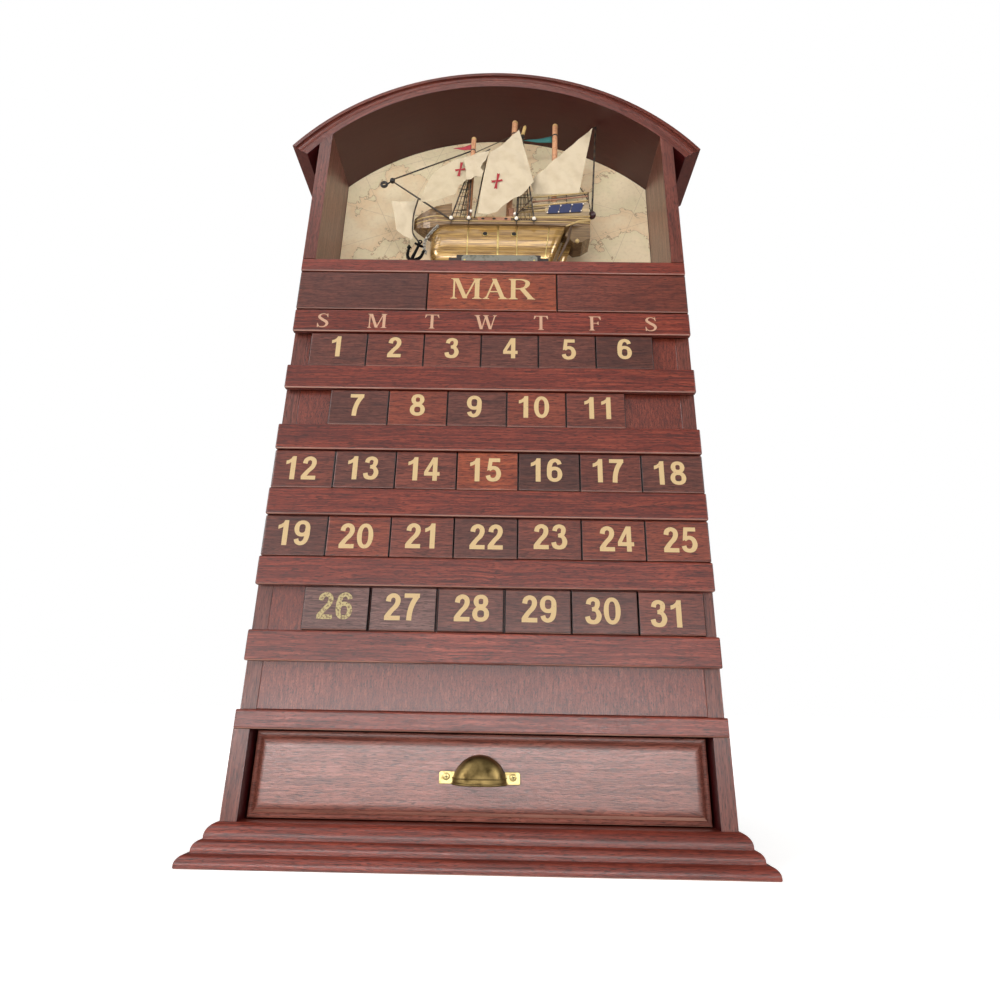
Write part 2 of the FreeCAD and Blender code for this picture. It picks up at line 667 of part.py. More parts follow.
def pull_screws():
    parts = []
    for side in (-1, 1):
        for name, diameter, start, length in (
                ("head", "screw_head", f"{FIELD_FACE} - pull_wall - screw_head_height", "screw_head_height"),
                ("shank", "screw_shank", f"{FIELD_FACE} - pull_wall", "screw_length")):
            feature = doc.addObject("Part::Cylinder", f"pull_screw_{name}")
            feature.Placement.Rotation = Rotation(Vector(1, 0, 0), -90)
            bind(feature, Radius=f"{diameter} / 2", Height=length)
            place(feature, f"{side} * screw_spacing / 2", start, SCREW_LINE)
            parts.append(feature)
    screws = []
    for head, shank in (parts[:2], parts[2:]):
        fuse = doc.addObject("Part::Fuse", "pull_screw")
        fuse.Base = head
        fuse.Tool = shank
        screws.append(fuse)
    return keep(compound("pull_screws", screws), "pull_screws")


# ------------------------------------------------------------------ model ship

def ship_hull():
    """The round lower hull, the upper strakes with a pointed bow, and the rudder."""
    body = new_body("ship_hull")
    near = f"({SHIP_LINE} - hull_beam / 2)"
    far = f"({SHIP_LINE} + hull_beam / 2)"
    belly = [("belly_place + bow_round", KEEL), ("belly_stern_place", KEEL), ("quarter_place", BELLY_TOP),
             ("belly_place", BELLY_TOP), ("belly_place", f"{KEEL} + bow_round")]
    pad(body, "XZ_Plane", near, "hull_beam", belly, {4: ("bow_round", 1)})
    doc.recompute()
    keel = mm(KEEL)
    turn = mm("belly_place + bow_round")

    def turned(edge):
        """The side edges of the keel and of the round bow."""
        box = edge.BoundBox
        return box.YLength < NEAR and (box.ZMax < keel + NEAR or box.XMax < turn + NEAR)

    dress(body, "Fillet", "belly_radius", turned)
    plan = [("bow_place", SHIP_LINE), ("shoulder_place", near), ("quarter_place", near),
            ("transom_place", f"{near} + transom_inset"), ("transom_place", f"{far} - transom_inset"),
            ("quarter_place", far), ("shoulder_place", far)]
    pad(body, "XY_Plane", BELLY_TOP, "strake_height", plan)
    front = "(belly_stern_place + quarter_place) / 2"
    rudder = [("belly_stern_place - rudder_thickness", KEEL), (f"{front} + rudder_length", KEEL),
              (f"{front} + 2 * rudder_length", BELLY_TOP), (front, BELLY_TOP)]
    pad(body, "XZ_Plane", f"{SHIP_LINE} - rudder_thickness / 2", "rudder_thickness", rudder)
    return keep(body, "ship_hull")


def ship_castles():
    near = f"({SHIP_LINE} - hull_beam / 2 + castle_inset)"
    far = f"({SHIP_LINE} + hull_beam / 2 - castle_inset)"
    stern = new_body("sterncastle")
    start = "(transom_place - sterncastle_length)"
    top = f"({DECK} + sterncastle_height)"
    profile = [(start, DECK), ("transom_place", DECK), ("transom_place", top),
               (f"{start} + sterncastle_step", f"{top} - sterncastle_sheer"),
               (start, f"{DECK} + sterncastle_front")]
    pad(stern, "XZ_Plane", f"{near} + transom_inset", f"{far} - {near} - 2 * transom_inset", profile)
    bow = new_body("forecastle")
    back = "(bow_place + forecastle_length)"
    full = "(bow_place + forecastle_taper * forecastle_length)"
    plan = [("bow_place", SHIP_LINE), (full, near), (back, near), (back, far), (full, far)]
    pad(bow, "XY_Plane", DECK, "forecastle_height", plan)
    return keep(compound("ship_castles", [stern, bow]), "ship_castles")


# Spars, sails and lines follow the rigging plan: places along the ship from a mast's head or from the
# stem, and heights above the deck as shares of the main mast's.
BOWSPRIT_TIP = ("bow", -17.6, 0.418)
YARDS = {
    "fore": [(-26.0, 0.366), (11.9, 0.722)],
    "main": [(-13.0, 0.56), (4.4, 0.936)],
    "mizzen": [(-19.0, 0.366), (28.0, 0.926)],
}
HOISTS = {"fore": 0.607, "main": 0.842, "mizzen": 0.67}
SAILS = {
    "fore": [(-24.4, 0.354), (-1.4, 0.628), (10.9, 0.688), (8.6, 0.381), (-10.2, 0.12), (-17.4, 0.098)],
    "main": [(-12.3, 0.551), (2.9, 0.897), (12.2, 0.314), (-10.9, 0.005), (-23.6, 0.026)],
    "mizzen": [(26.2, 0.889), (14.5, 0.267), (-16.2, 0.241), (-16.8, 0.366)],
}
SPRITSAIL = [(-13.6, 0.146), (1.3, 0.22), (1.3, -0.146), (-12.0, -0.073)]
DEAD_EYES = [("fore", -12.1), ("fore", -0.4), ("main", 1.6), ("main", 13.3)]
SHROUD_TOPS = {"fore": 0.58, "main": 0.785}
FORESTAY = 0.71


def rod(start, end, diameter):
    """A round bar between two points."""
    return Part.makeCylinder(diameter / 2, (end - start).Length, start, end - start)


def shaped(label, solids):
    feature = doc.addObject("Part::Feature", label)
    feature.Shape = Part.makeCompound(solids)
    return keep(feature, label)


def ship_place(mark, along_ship, rise=0.0, out=0.0):
    """A point of the ship, from a mast's head or the stem, above the deck, and out to the front."""
    return Vector(mm(f"{mark}_place") + along_ship, mm(SHIP_LINE) - out, mm(DECK) + rise)


def mast_height(mast):
    return mm(RIG_HEIGHT) if mast == "main" else mm(f"{RIG_HEIGHT} - {mast}_drop")


def on_mast(mast, rise):
    """A point of a mast's centre line, at a rise above the deck."""
    return ship_place(mast, -mm(f"{mast}_rake") * (1 - rise / mast_height(mast)), rise)


def hung(mast, along_ship, share, beyond=0.0):
    """A point in the leaning plane of a mast's yard and sail, or beyond it to the front."""
    rig = mm(RIG_HEIGHT)
    out = mm(f"({mast}_mast + yard) / 2 + spar_gap") + beyond
    out += (HOISTS[mast] - share) * rig * math.tan(math.radians(mm(f"{mast}_lean")))
    return ship_place(mast, along_ship, share * rig, out)


def dead_eye(mast, along_ship):
    """The middle of a dead-eye on the near side of the hull."""
    eye = mm("bead")
    return ship_place(mast, along_ship, -eye, mm("(hull_beam + bead) / 2"))


def bowsprit():
    """The bowsprit's ends: before the first dead-eye, and its tip."""
    foot = dead_eye(*DEAD_EYES[0]) - Vector(mm("(bead + yard) / 2 + spar_gap"), 0, 0)
    mark, along_ship, share = BOWSPRIT_TIP
    return foot, ship_place(mark, along_ship, share * mm(RIG_HEIGHT))


def ship_masts(hull, castles):
    """Fore, main and mizzen masts, raked aft, each cut off square with the deck that it stands on."""
    solids = []
    for mast in ("fore", "main", "mizzen"):
        foot = on_mast(mast, -mm("bead"))
        pole = rod(foot, on_mast(mast, mast_height(mast)), mm(f"{mast}_mast"))
        solids += pole.cut([hull.Shape, castles.Shape]).Solids
    return shaped("ship_masts", solids)


def ship_yards():
    """A yard in front of each mast, and the bowsprit."""
    solids = [rod(*(hung(mast, *end) for end in ends), mm("yard")) for mast, ends in YARDS.items()]
    return shaped("ship_yards", solids + [rod(*bowsprit(), mm("yard"))])


def plate(corners):
    """A flat sheet of sailcloth, thickened towards the back."""
    wire = Part.makePolygon(corners + corners[:1])
    return Part.Face(wire).extrude(Vector(0, mm("cloth"), 0))


def ship_sails():
    """Four flat sails: one in front of each yard, and the spritsail in front of the bowsprit."""
    beyond = mm("yard / 2 + 2 * spar_gap + cloth")
    solids = [plate([hung(mast, x, share, beyond) for x, share in points]) for mast, points in SAILS.items()]
    foot, tip = bowsprit()
    along = (ship_place("bow", SPRITSAIL[1][0]).x - foot.x) / (tip.x - foot.x)
    out = mm(SHIP_LINE) - (foot + (tip - foot) * along).y + beyond
    rig = mm(RIG_HEIGHT)
    solids.append(plate([ship_place("bow", x, share * rig, out) for x, share in SPRITSAIL]))
    return shaped("ship_sails", solids)


def ship_rigging():
    """Dead-eyes and shrouds, the forestay, and the line from the mizzen yard to the knob at the stern."""
    thick = mm("line")
    eye = mm("bead / 2")
    gap = mm("spar_gap")
    rig = mm(RIG_HEIGHT)
    solids = []
    for mast, x in DEAD_EYES:
        low = dead_eye(mast, x)
        in_front = Vector(0, mm(f"({mast}_mast + line) / 2") + gap, 0)
        high = on_mast(mast, SHROUD_TOPS[mast] * rig) - in_front
        solids.append(Part.makeSphere(eye, low))
        solids.append(rod(low + (high - low).normalize() * eye, high, thick))
    tip = bowsprit()[1] + Vector(0, 0, mm("(yard + line) / 2") + gap)
    stay = on_mast("fore", FORESTAY * rig) - Vector(mm("fore_mast / 2") + gap, 0, 0)
    solids.append(rod(tip, stay, thick))
    knob_radius = mm("stern_knob / 2")
    knob = ship_place("transom", knob_radius, mm("knob_rise"))
    peak = hung("mizzen", *YARDS["mizzen"][1]) + Vector(thick + gap, 0, 0)
    solids.append(Part.makeSphere(knob_radius, knob))
    solids.append(rod(peak, knob + (peak - knob).normalize() * knob_radius, thick))
    return shaped("ship_rigging", solids)


# The anchor's points from the stem, with their height above the deck.
ANCHOR = {"eye": (18.5, -9.0), "ring": (7.3, -23.4), "crown": (2.3, -37.5), "fluke": (0.6, -26.5),
          "far_fluke": (10.3, -29.8)}


def ship_anchor():
    """Anchor hanging on a bar from the bow's near side."""
    spar = mm("anchor_spar")
    out = mm("(hull_beam + anchor_spar) / 2 + spar_gap")
    at = {name: ship_place("bow", x, rise, out) for name, (x, rise) in ANCHOR.items()}
    ends = [("eye", "ring"), ("ring", "crown"), ("crown", "fluke"), ("crown", "far_fluke")]
    bars = [rod(at[start], at[end], spar) for start, end in ends]
    return shaped("ship_anchor", bars[0].multiFuse(bars[1:]).Solids)


def ship_stand():
    """The block under the keel, with a blank plate on its front."""
    body = new_body("ship_stand")
    near = f"({SHIP_LINE} - stand_front)"
    block = rectangle("stand_shift - stand_length / 2", SHELF_TOP, "stand_shift + stand_length / 2", KEEL)
    pad(body, "XZ_Plane", near, "stand_front + stand_back", block)
    plate = rectangle("stand_shift - plate_length / 2", SHELF_TOP, "stand_shift + plate_length / 2",
                      f"{SHELF_TOP} + plate_height")
    pad(body, "XZ_Plane", f"{near} - plate_thickness", "plate_thickness", plate)
    return keep(body, "ship_stand")


# ------------------------------------------------------------------ build, check and write

base_board()
side_panel("left_side_panel", -1)
side_panel("right_side_panel", 1)
arched_sheet("back_panel", "base_height", BACK_FACE, "back_thickness", "0")
calendar_panel()
nosed_board("drawer_divider", OPENING_TOP, "divider_height", f"({DIVIDER_TOP} - lip_overhang)")
nosed_board("shadow_box_shelf", SHELF_UNDER, "shelf_height", SHELF_UNDER)
arch_roof()
arched_sheet("chart_card", SHELF_TOP, f"{BACK_FACE} - card_thickness", "card_thickness", "card_gap")
rails()
date_tiles()
month_tiles()
drawer_front()
drawer_box()
cup_pull()
pull_screws()
ship_parts = ship_hull(), ship_castles()
doc.recompute()
ship_masts(*ship_parts)
ship_yards()
ship_sails()
ship_rigging()
ship_anchor()
ship_stand()

doc.recompute()
failed = [f.Name for f in doc.Objects if {"Invalid", "Error"} & set(f.State)]
if failed:
    raise RuntimeError(f"failed features: {failed}")
for node in NODES:
    if node.Shape.isNull() or not node.Shape.isValid():
        raise RuntimeError(f"{node.Label} has no valid shape")

os.makedirs("parts", exist_ok=True)
for node in NODES:
    node.Shape.exportStep(f"parts/{node.Label}.step")
    print(f"{node.Label}: {len(node.Shape.Solids)} solids, {node.Shape.Volume / 1000:.2f} cm3")
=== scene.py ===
"""A desk calendar with a drawer and a model ship in its arched shadow box, dressed over its CAD frame."""

import logging
from dataclasses import dataclass
from enum import Enum
from functools import partial
from math import copysign, cos, pi, radians, sin, sqrt, tan, tau
from typing import Any, Callable, Iterable, Sequence

import bpy
from mathutils import Matrix, Vector, noise
from mathutils.geometry import delaunay_2d_cdt


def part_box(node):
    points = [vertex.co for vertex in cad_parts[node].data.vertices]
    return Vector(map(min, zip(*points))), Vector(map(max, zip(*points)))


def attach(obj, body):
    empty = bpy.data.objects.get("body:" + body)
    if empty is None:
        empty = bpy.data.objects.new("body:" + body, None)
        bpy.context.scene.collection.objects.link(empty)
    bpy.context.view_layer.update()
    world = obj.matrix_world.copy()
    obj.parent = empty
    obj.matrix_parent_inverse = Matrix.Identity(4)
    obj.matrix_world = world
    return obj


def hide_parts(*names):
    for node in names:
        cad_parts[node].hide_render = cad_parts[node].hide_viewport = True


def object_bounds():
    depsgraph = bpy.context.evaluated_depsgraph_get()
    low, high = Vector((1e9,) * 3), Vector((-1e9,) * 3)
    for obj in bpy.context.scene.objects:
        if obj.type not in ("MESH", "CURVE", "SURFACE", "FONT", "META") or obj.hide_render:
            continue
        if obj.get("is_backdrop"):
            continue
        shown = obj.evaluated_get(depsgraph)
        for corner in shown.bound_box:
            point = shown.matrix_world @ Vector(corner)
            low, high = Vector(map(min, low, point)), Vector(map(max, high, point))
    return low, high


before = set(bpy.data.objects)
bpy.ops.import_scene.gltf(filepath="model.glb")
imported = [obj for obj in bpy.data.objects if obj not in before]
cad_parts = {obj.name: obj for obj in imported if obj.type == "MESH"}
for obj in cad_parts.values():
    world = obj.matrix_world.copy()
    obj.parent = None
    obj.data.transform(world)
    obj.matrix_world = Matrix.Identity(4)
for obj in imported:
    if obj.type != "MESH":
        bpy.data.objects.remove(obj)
CAD_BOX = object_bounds()

MM = 0.001  # metres in a millimetre
HULL_SLOT = "lacquered_hull_wood"
CORD_SLOT = "rigging_cord"
PULL_SLOT = "antique_brass"
log = logging.getLogger("desk_calendar")

Points = list[Vector]
Faces = list[tuple[int, ...]]
Path = Sequence[Sequence[float]]
Outline = Sequence[tuple[float, float]]
Place = Callable[[float, float, float], Vector]
Tree, Node, Socket = bpy.types.NodeTree, bpy.types.Node, bpy.types.NodeSocket


# -------- small tools

def linear(colour: str) -> tuple[float, float, float, float]:
    """Turns an sRGB hex colour to linear light.

    Args:
        colour: six hex digits after a hash sign.

    Returns:
        Red, green and blue in linear light, and an alpha of 1.
    """
    parts = [int(colour[i:i + 2], 16) / 255 for i in (1, 3, 5)]
    low = [p / 12.92 if p <= 0.04045 else ((p + 0.055) / 1.055) ** 2.4 for p in parts]
    return (low[0], low[1], low[2], 1.0)


def connect(tree: Tree, node: Node, inputs: dict[int | str, Any]) -> None:
    """Sets or links a node's inputs.

    Args:
        tree: the node tree.
        node: the node.
        inputs: for each input, by name or index, a constant, a socket, or a node for its first output in use.
    """
    for key, value in inputs.items():
        if isinstance(value, Node):
            value = next(socket for socket in value.outputs if socket.enabled)
        if isinstance(value, Socket):
            tree.links.new(value, node.inputs[key])
        else:
            node.inputs[key].default_value = value


def add_node(tree: Tree, kind: str, inputs: dict[int | str, Any] | None = None, **settings: Any) -> Node:
    """Adds a node with its settings, constants and links.

    By index, a Mix of colours has its factor at 0 and its colours at 6 and 7, and a Map Range has its value
    at 0, its two ends from at 1 and 2, and its two ends to at 3 and 4.

    Args:
        tree: the node tree.
        kind: the node's type, without the ShaderNode in front.
        inputs: see connect().
        settings: the node's own options.

    Returns:
        The new node.
    """
    made = tree.nodes.new(f"ShaderNode{kind}")
    for option, value in settings.items():
        setattr(made, option, value)
    connect(tree, made, inputs or {})
    return made


def ramp_stops(node: Node, stops: Sequence[tuple[float, str]]) -> None:
    """Sets a colour ramp's stops.

    Args:
        node: the colour ramp.
        stops: place from 0 to 1 and hex colour of each stop.
    """
    steps = node.color_ramp.elements
    while len(steps) < len(stops):
        steps.new(0.5)
    for step, (place, colour) in zip(steps, stops):
        step.position = place
        step.color = linear(colour)


class Shape:
    """Corners and faces gathered from several solids, in millimetres."""

    def __init__(self) -> None:
        """Starts empty."""
        self.points: Points = []
        self.faces: Faces = []

    def add(self, points: Iterable[Sequence[float]], faces: Iterable[Sequence[int]]) -> None:
        """Adds a solid's corners and faces.

        Args:
            points: its corners.
            faces: its faces, numbered from 0.
        """
        first = len(self.points)
        self.points += [Vector(p) for p in points]
        self.faces += [tuple(first + i for i in face) for face in faces]

    def rings(self, rings: Sequence[Path], close: bool = True, cap: bool = True) -> None:
        """Adds a skin over rings of points.

        Args:
            rings: rings with the same number of points.
            close: whether each ring is a loop.
            cap: whether the first and last rings are filled.
        """
        count = len(rings[0])
        points = [p for ring in rings for p in ring]
        faces: list[tuple[int, ...]] = []
        span = count if close else count - 1
        for row in range(len(rings) - 1):
            for i in range(span):
                j = (i + 1) % count
                low = row * count
                faces.append((low + i, low + j, low + count + j, low + count + i))
        if cap:
            faces.append(tuple(reversed(range(count))))
            last = (len(rings) - 1) * count
            faces.append(tuple(last + i for i in range(count)))
        self.add(points, faces)

    def rod(self, path: Path, radius: float | Sequence[float], sides: int = 10) -> None:
        """Adds a round bar along a path.

        Args:
            path: its centre line.
            radius: its radius, or one for each point of the path.
            sides: number of flats round it.
        """
        line = [Vector(p) for p in path]
        radii = radius if hasattr(radius, "__len__") else [radius] * len(line)
        side = Vector((0.0, 1.0, 0.0)).cross(line[1] - line[0])
        if side.length < 1e-6:
            side = Vector((1.0, 0.0, 0.0))
        rings = []
        for i, point in enumerate(line):
            along = (line[min(i + 1, len(line) - 1)] - line[max(i - 1, 0)]).normalized()
            side = (side - along * side.dot(along)).normalized()
            other = along.cross(side)
            turns = [tau * k / sides for k in range(sides)]
            rings.append([point + (side * cos(t) + other * sin(t)) * radii[i] for t in turns])
        self.rings(rings)

    def ball(self, centre: Sequence[float], radius: float, squash: Sequence[float] = (1, 1, 1),
             steps: int = 10) -> None:
        """Adds a ball or an egg.

        Args:
            centre: its middle.
            radius: its radius.
            squash: its share of the radius along each axis.
            steps: number of rings from pole to pole.
        """
        rings = []
        for row in range(1, steps):
            lift = pi * row / steps
            flat = sin(lift) * radius
            middle = Vector(centre) + Vector((0, 0, cos(lift) * radius * squash[2]))
            rings.append(hoop(middle, (flat * squash[0], 0, 0), (0, flat * squash[1], 0), 2 * steps)[:-1])
        self.rings(rings)

    def block(self, low: Sequence[float], high: Sequence[float], chamfer: float = 0.0) -> None:
        """Adds a block whose front edges are chamfered.

        Args:
            low: its lowest corner.
            high: its highest corner.
            chamfer: width of the chamfer round its front.
        """
        (x0, y0, z0), (x1, y1, z1) = low, high
        self.rings([[(x0 + c, y, z0 + c), (x1 - c, y, z0 + c), (x1 - c, y, z1 - c), (x0 + c, y, z1 - c)]
                    for y, c in ((y1, 0.0), (y0 + chamfer, 0.0), (y0, chamfer))])

    def slab(self, outline: Path, y0: float, y1: float) -> None:
        """Adds a flat outline in x and z, which is thick from y0 in front to y1 behind."""
        self.rings([[(x, y1, z) for x, z in outline], [(x, y0, z) for x, z in outline]])

    def piece(self, name: str, finish: "Finish", slot: str = HULL_SLOT, body: str = "case",
              smooth: bool = True, replaces: Sequence[str] = ()) -> bpy.types.Object:
        """Makes the mesh piece, which rides on a body of the frame.

        Args:
            name: the piece's name.
            finish: what it is finished in.
            slot: the record's material slot; not used.
            body: the body that it rides on.
            smooth: whether its faces shade smoothly.
            replaces: the CAD nodes that it stands for.

        Returns:
            The piece.
        """
        mesh = bpy.data.meshes.new(name)
        mesh.from_pydata([tuple(c * MM for c in p) for p in self.points], [], self.faces)
        mesh.validate()
        mesh.polygons.foreach_set("use_smooth", [smooth] * len(mesh.polygons))
        mesh.materials.append(finish.material())
        made = bpy.data.objects.new(name, mesh)
        bpy.context.scene.collection.objects.link(made)
        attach(made, body)
        if replaces:
            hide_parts(*replaces)
        log.info("piece %s: %d faces on %s", name, len(mesh.polygons), body)
        return made


def hoop(centre: Sequence[float], across: Sequence[float], up: Sequence[float], parts: int) -> list[Vector]:
    """Gives the points of a ring, whose last point is its first again.

    Args:
        centre: its middle.
        across: from its middle to its first point.
        up: from its middle to the point a quarter turn on.
        parts: number of points round it.

    Returns:
        The points.
    """
    middle, wide, tall = Vector(centre), Vector(across), Vector(up)
    turns = [tau * k / parts for k in range(parts + 1)]
    return [middle + wide * cos(t) + tall * sin(t) for t in turns]


def blend_line(points: Path, steps: int = 6) -> list[Vector]:
    """Draws a smooth line through points, as a spline with even speed.

    Args:
        points: the points that it passes.
        steps: parts of each stretch.

    Returns:
        The points of the line.
    """
    line = [Vector(p) for p in points]
    out = []
    for i in range(len(line) - 1):
        a, b, c, d = line[max(i - 1, 0)], line[i], line[i + 1], line[min(i + 2, len(line) - 1)]
        for k in range(steps):
            t = k / steps
            out.append(0.5 * ((2 * b) + (c - a) * t + (2 * a - 5 * b + 4 * c - d) * t * t
                              + (3 * b - a - 3 * c + d) * t * t * t))
    return out + [line[-1]]


# -------- finishes

class Grain(Enum):
    """Which way the grain of a board runs."""

    ALONG_WIDTH = "along x"
    UPRIGHT = "along z"
    ROUND_ARCH = "round the arch"


class Finish:
    """A finish: a named material and the nodes that give its look."""

    name: str

    def paint(self, tree: Tree, shader: Node) -> None:
        """Adds the finish's nodes; each finish has its own."""
        raise NotImplementedError

    def material(self) -> bpy.types.Material:
        """Makes the material, or gives the one already made.

        Returns:
            The material.
        """
        made = bpy.data.materials.get(self.name)
        if made:
            return made
        made = bpy.data.materials.new(self.name)
        made.use_nodes = True
        tree = made.node_tree
        tree.nodes.clear()
        shader = add_node(tree, "BsdfPrincipled")
        add_node(tree, "OutputMaterial", {"Surface": shader.outputs["BSDF"]})
        self.paint(tree, shader)
        return made


@dataclass(frozen=True)
class StainedMahogany(Finish):
    """Mahogany, sawn, sanded, stained red-brown and wiped with a satin varnish.

    The eye sees fine dark streaks along the grain, short open pores and a soft sheen.
    """

    name: str
    dark: str
    mid: str
    light: str
    grain: Grain = Grain.ALONG_WIDTH
    roughness: float = 0.32
    gloss: float = 0.15  # weight of the varnish
    shift: float = 0.0  # moves the figure, so that two boards differ
    loose: bool = False  # a small board: its own figure, and painted shade on its ends for the gaps between tiles
    arch_centre: float = 327.3  # mm; height of the arch's centre
    arch_radius: float = 165.0  # mm
    streak_width: float = 1.3  # mm across a band of the figure
    streak_length: float = 42.0  # mm along it
    pore_width: float = 0.28  # mm; real pores are 0.1 to 0.2 mm, drawn coarser so that they show
    pore_length: float = 4.0  # mm
    shade_inside: float = 0.0  # mm; nearer to the arch's centre, or the middle of the case, it is darkened: painted shade, over stain left on inside

    PORE = "#260c08"
    RUBBED = "#ab8070"  # lower arrises: bare where rounded and worn, and lighter still as a painted highlight
    SOOT = "#160a08"  # painted shade on the ends of a loose board, for the gaps between tiles
    UNWIPED = "#360609"  # painted shade inside the case, over stain that was left on there
    DIVIDER_TOP = 57.5  # mm; above it the sides close in the shadow box and the tiles
    SLANT_DOWN = (0.0, -0.7071, -0.7071)  # which way a lower arris faces
    ARRIS = 0.93  # cosine of how far from that a face may turn and still be lightened
    COVER = 0.93  # how much of the wood the painted shade and stain hide

    def place(self, tree: Tree) -> Socket:
        """Gives the place along, through and across the grain.

        Args:
            tree: the material's node tree.

        Returns:
            The vector socket.
        """
        add = partial(add_node, tree)
        at = add("TexCoord").outputs["Object"]
        cut = add("SeparateXYZ", {0: at})
        x, y, z = cut.outputs
        if self.grain is Grain.UPRIGHT:
            x, z = z, x
        elif self.grain is Grain.ROUND_ARCH:
            rise = add("Math", {0: z, 1: self.arch_centre * MM}, operation="SUBTRACT")
            turn = add("Math", {0: x, 1: rise}, operation="ARCTAN2")
            arc = add("Math", {0: turn, 1: self.arch_radius * MM}, operation="MULTIPLY")
            flat = add("CombineXYZ", {0: x, 1: rise})
            far = add("VectorMath", {0: flat}, operation="LENGTH")
            x, z = arc.outputs[0], far.outputs["Value"]
        if self.loose:
            own = add("ObjectInfo").outputs["Random"]
            x = add("Math", {0: own, 1: 3.0, 2: x}, operation="MULTIPLY_ADD").outputs[0]
        moved = add("CombineXYZ", {0: x, 1: y, 2: z})
        wander = add("TexNoise", {"Vector": moved, "Scale": 18.0, "Detail": 2.0})
        bend = add("VectorMath", {0: wander.outputs["Color"], 1: (0.004, 0.004, 0.004), 2: moved},
                   operation="MULTIPLY_ADD")
        return bend.outputs[0]

    def distance(self, tree: Tree) -> Socket:
        """Gives the distance from the arch's centre, or below the divider from the middle of the case.

        Args:
            tree: the material's node tree.

        Returns:
            The socket, in metres.
        """
        add = partial(add_node, tree)
        at = add("TexCoord").outputs["Object"]
        if self.grain is Grain.ROUND_ARCH:
            flat = add("VectorMath", {0: at, 1: (1, 0, 1)}, operation="MULTIPLY")
            return add("VectorMath", {0: flat, 1: (0, 0, self.arch_centre * MM)},
                       operation="DISTANCE").outputs["Value"]
        cut = add("SeparateXYZ", {0: at})
        wide = add("Math", {0: cut.outputs["X"]}, operation="ABSOLUTE")
        above = add("Math", {0: cut.outputs["Z"], 1: self.DIVIDER_TOP * MM}, operation="GREATER_THAN")
        return add("Math", {0: above, 1: wide}, operation="ADD").outputs[0]

    def paint(self, tree: Tree, shader: Node) -> None:
        """Adds figure, pores, uneven stain, painted highlight and shade, and a satin varnish.

        Args:
            tree: the material's node tree.
            shader: its shader node.
        """
        at = self.place(tree)
        band = 1 / (self.streak_width * MM)
        add = partial(add_node, tree)
        figure_at = add("Mapping", {"Vector": at, "Location": (self.shift, self.shift * 3, self.shift * 7),
                                    "Scale": (1 / (self.streak_length * MM), band, band)})
        figure = add("TexNoise", {"Vector": figure_at, "Scale": 1.0, "Detail": 8.0, "Roughness": 0.72})
        tone = add("ValToRGB", {0: figure})
        ramp_stops(tone, [(0.35, self.dark), (0.50, self.mid), (0.65, self.light)])
        stain = add("TexNoise", {"Vector": at, "Scale": 14.0, "Detail": 3.0})
        patch = add("MapRange", {0: stain, 1: 0.35, 2: 0.7, 3: 0.0, 4: 0.45})
        base = add("Mix", {0: patch, 6: tone, 7: linear(self.dark)}, data_type="RGBA")
        fine = 1 / (self.pore_width * MM)
        pore_at = add("Mapping", {"Vector": at, "Location": (self.shift, 0, self.shift),
                                  "Scale": (1 / (self.pore_length * MM), fine, fine)})
        pores = add("TexNoise", {"Vector": pore_at, "Scale": 1.0, "Detail": 1.0})
        open_pore = add("MapRange", {0: pores, 1: 0.55, 2: 0.62, 3: 0.0, 4: 0.76})
        colour = add("Mix", {0: open_pore, 6: base, 7: linear(self.PORE)}, data_type="RGBA")
        facing = add("NewGeometry").outputs["Normal"]
        # Lower arrises facing front and down are lighter: wear, and a painted highlight.
        down = add("VectorMath", {0: facing, 1: self.SLANT_DOWN}, operation="DOT_PRODUCT")
        turned = add("Math", {0: down, 1: self.ARRIS}, operation="GREATER_THAN")
        thin = add("MapRange", {0: stain, 1: 0.35, 2: 0.6, 3: 0.15, 4: 0.9})
        bare = add("Math", {0: turned, 1: thin}, operation="MULTIPLY")
        colour = add("Mix", {0: bare, 6: colour, 7: linear(self.RUBBED)}, data_type="RGBA")
        # Painted shade: the ends of a loose board are near black, so that the gaps between tiles look dark.
        if self.loose:
            along = add("SeparateXYZ", {0: facing}).outputs["X"]
            end = add("Math", {0: along}, operation="ABSOLUTE")
            end_shade = add("Math", {0: end, 1: 0.4}, operation="GREATER_THAN")
            colour = add("Mix", {0: end_shade, 6: colour, 7: linear(self.SOOT)}, data_type="RGBA")
        # Painted shade, over stain left on inside: there the colour is darkened towards near black.
        if self.shade_inside:
            far = self.distance(tree)
            inside = add("Math", {0: far, 1: self.shade_inside * MM}, operation="LESS_THAN")
            deep = add("Math", {0: inside, 1: self.COVER}, operation="MULTIPLY")
            colour = add("Mix", {0: deep, 6: colour, 7: linear(self.UNWIPED)}, data_type="RGBA")
        rough = add("MapRange", {0: figure, 1: 0.3, 2: 0.7, 3: self.roughness + 0.08,
                                 4: self.roughness - 0.05})
        speck_at = add("Mapping", {"Vector": at, "Scale": (0.7 * fine, fine, fine)})
        specks = add("TexNoise", {"Vector": speck_at, "Scale": 1.0, "Detail": 2.0})
        height = add("Math", {0: pores, 1: specks}, operation="SUBTRACT")
        bump = add("Bump", {"Height": height, "Strength": 0.7, "Distance": 0.06 * MM}, invert=True)
        connect(tree, shader, {"Base Color": colour, "Roughness": rough, "Normal": bump, "Coat Normal": bump,
                               "IOR": 1.5, "Coat Weight": self.gloss, "Coat Roughness": 0.16})


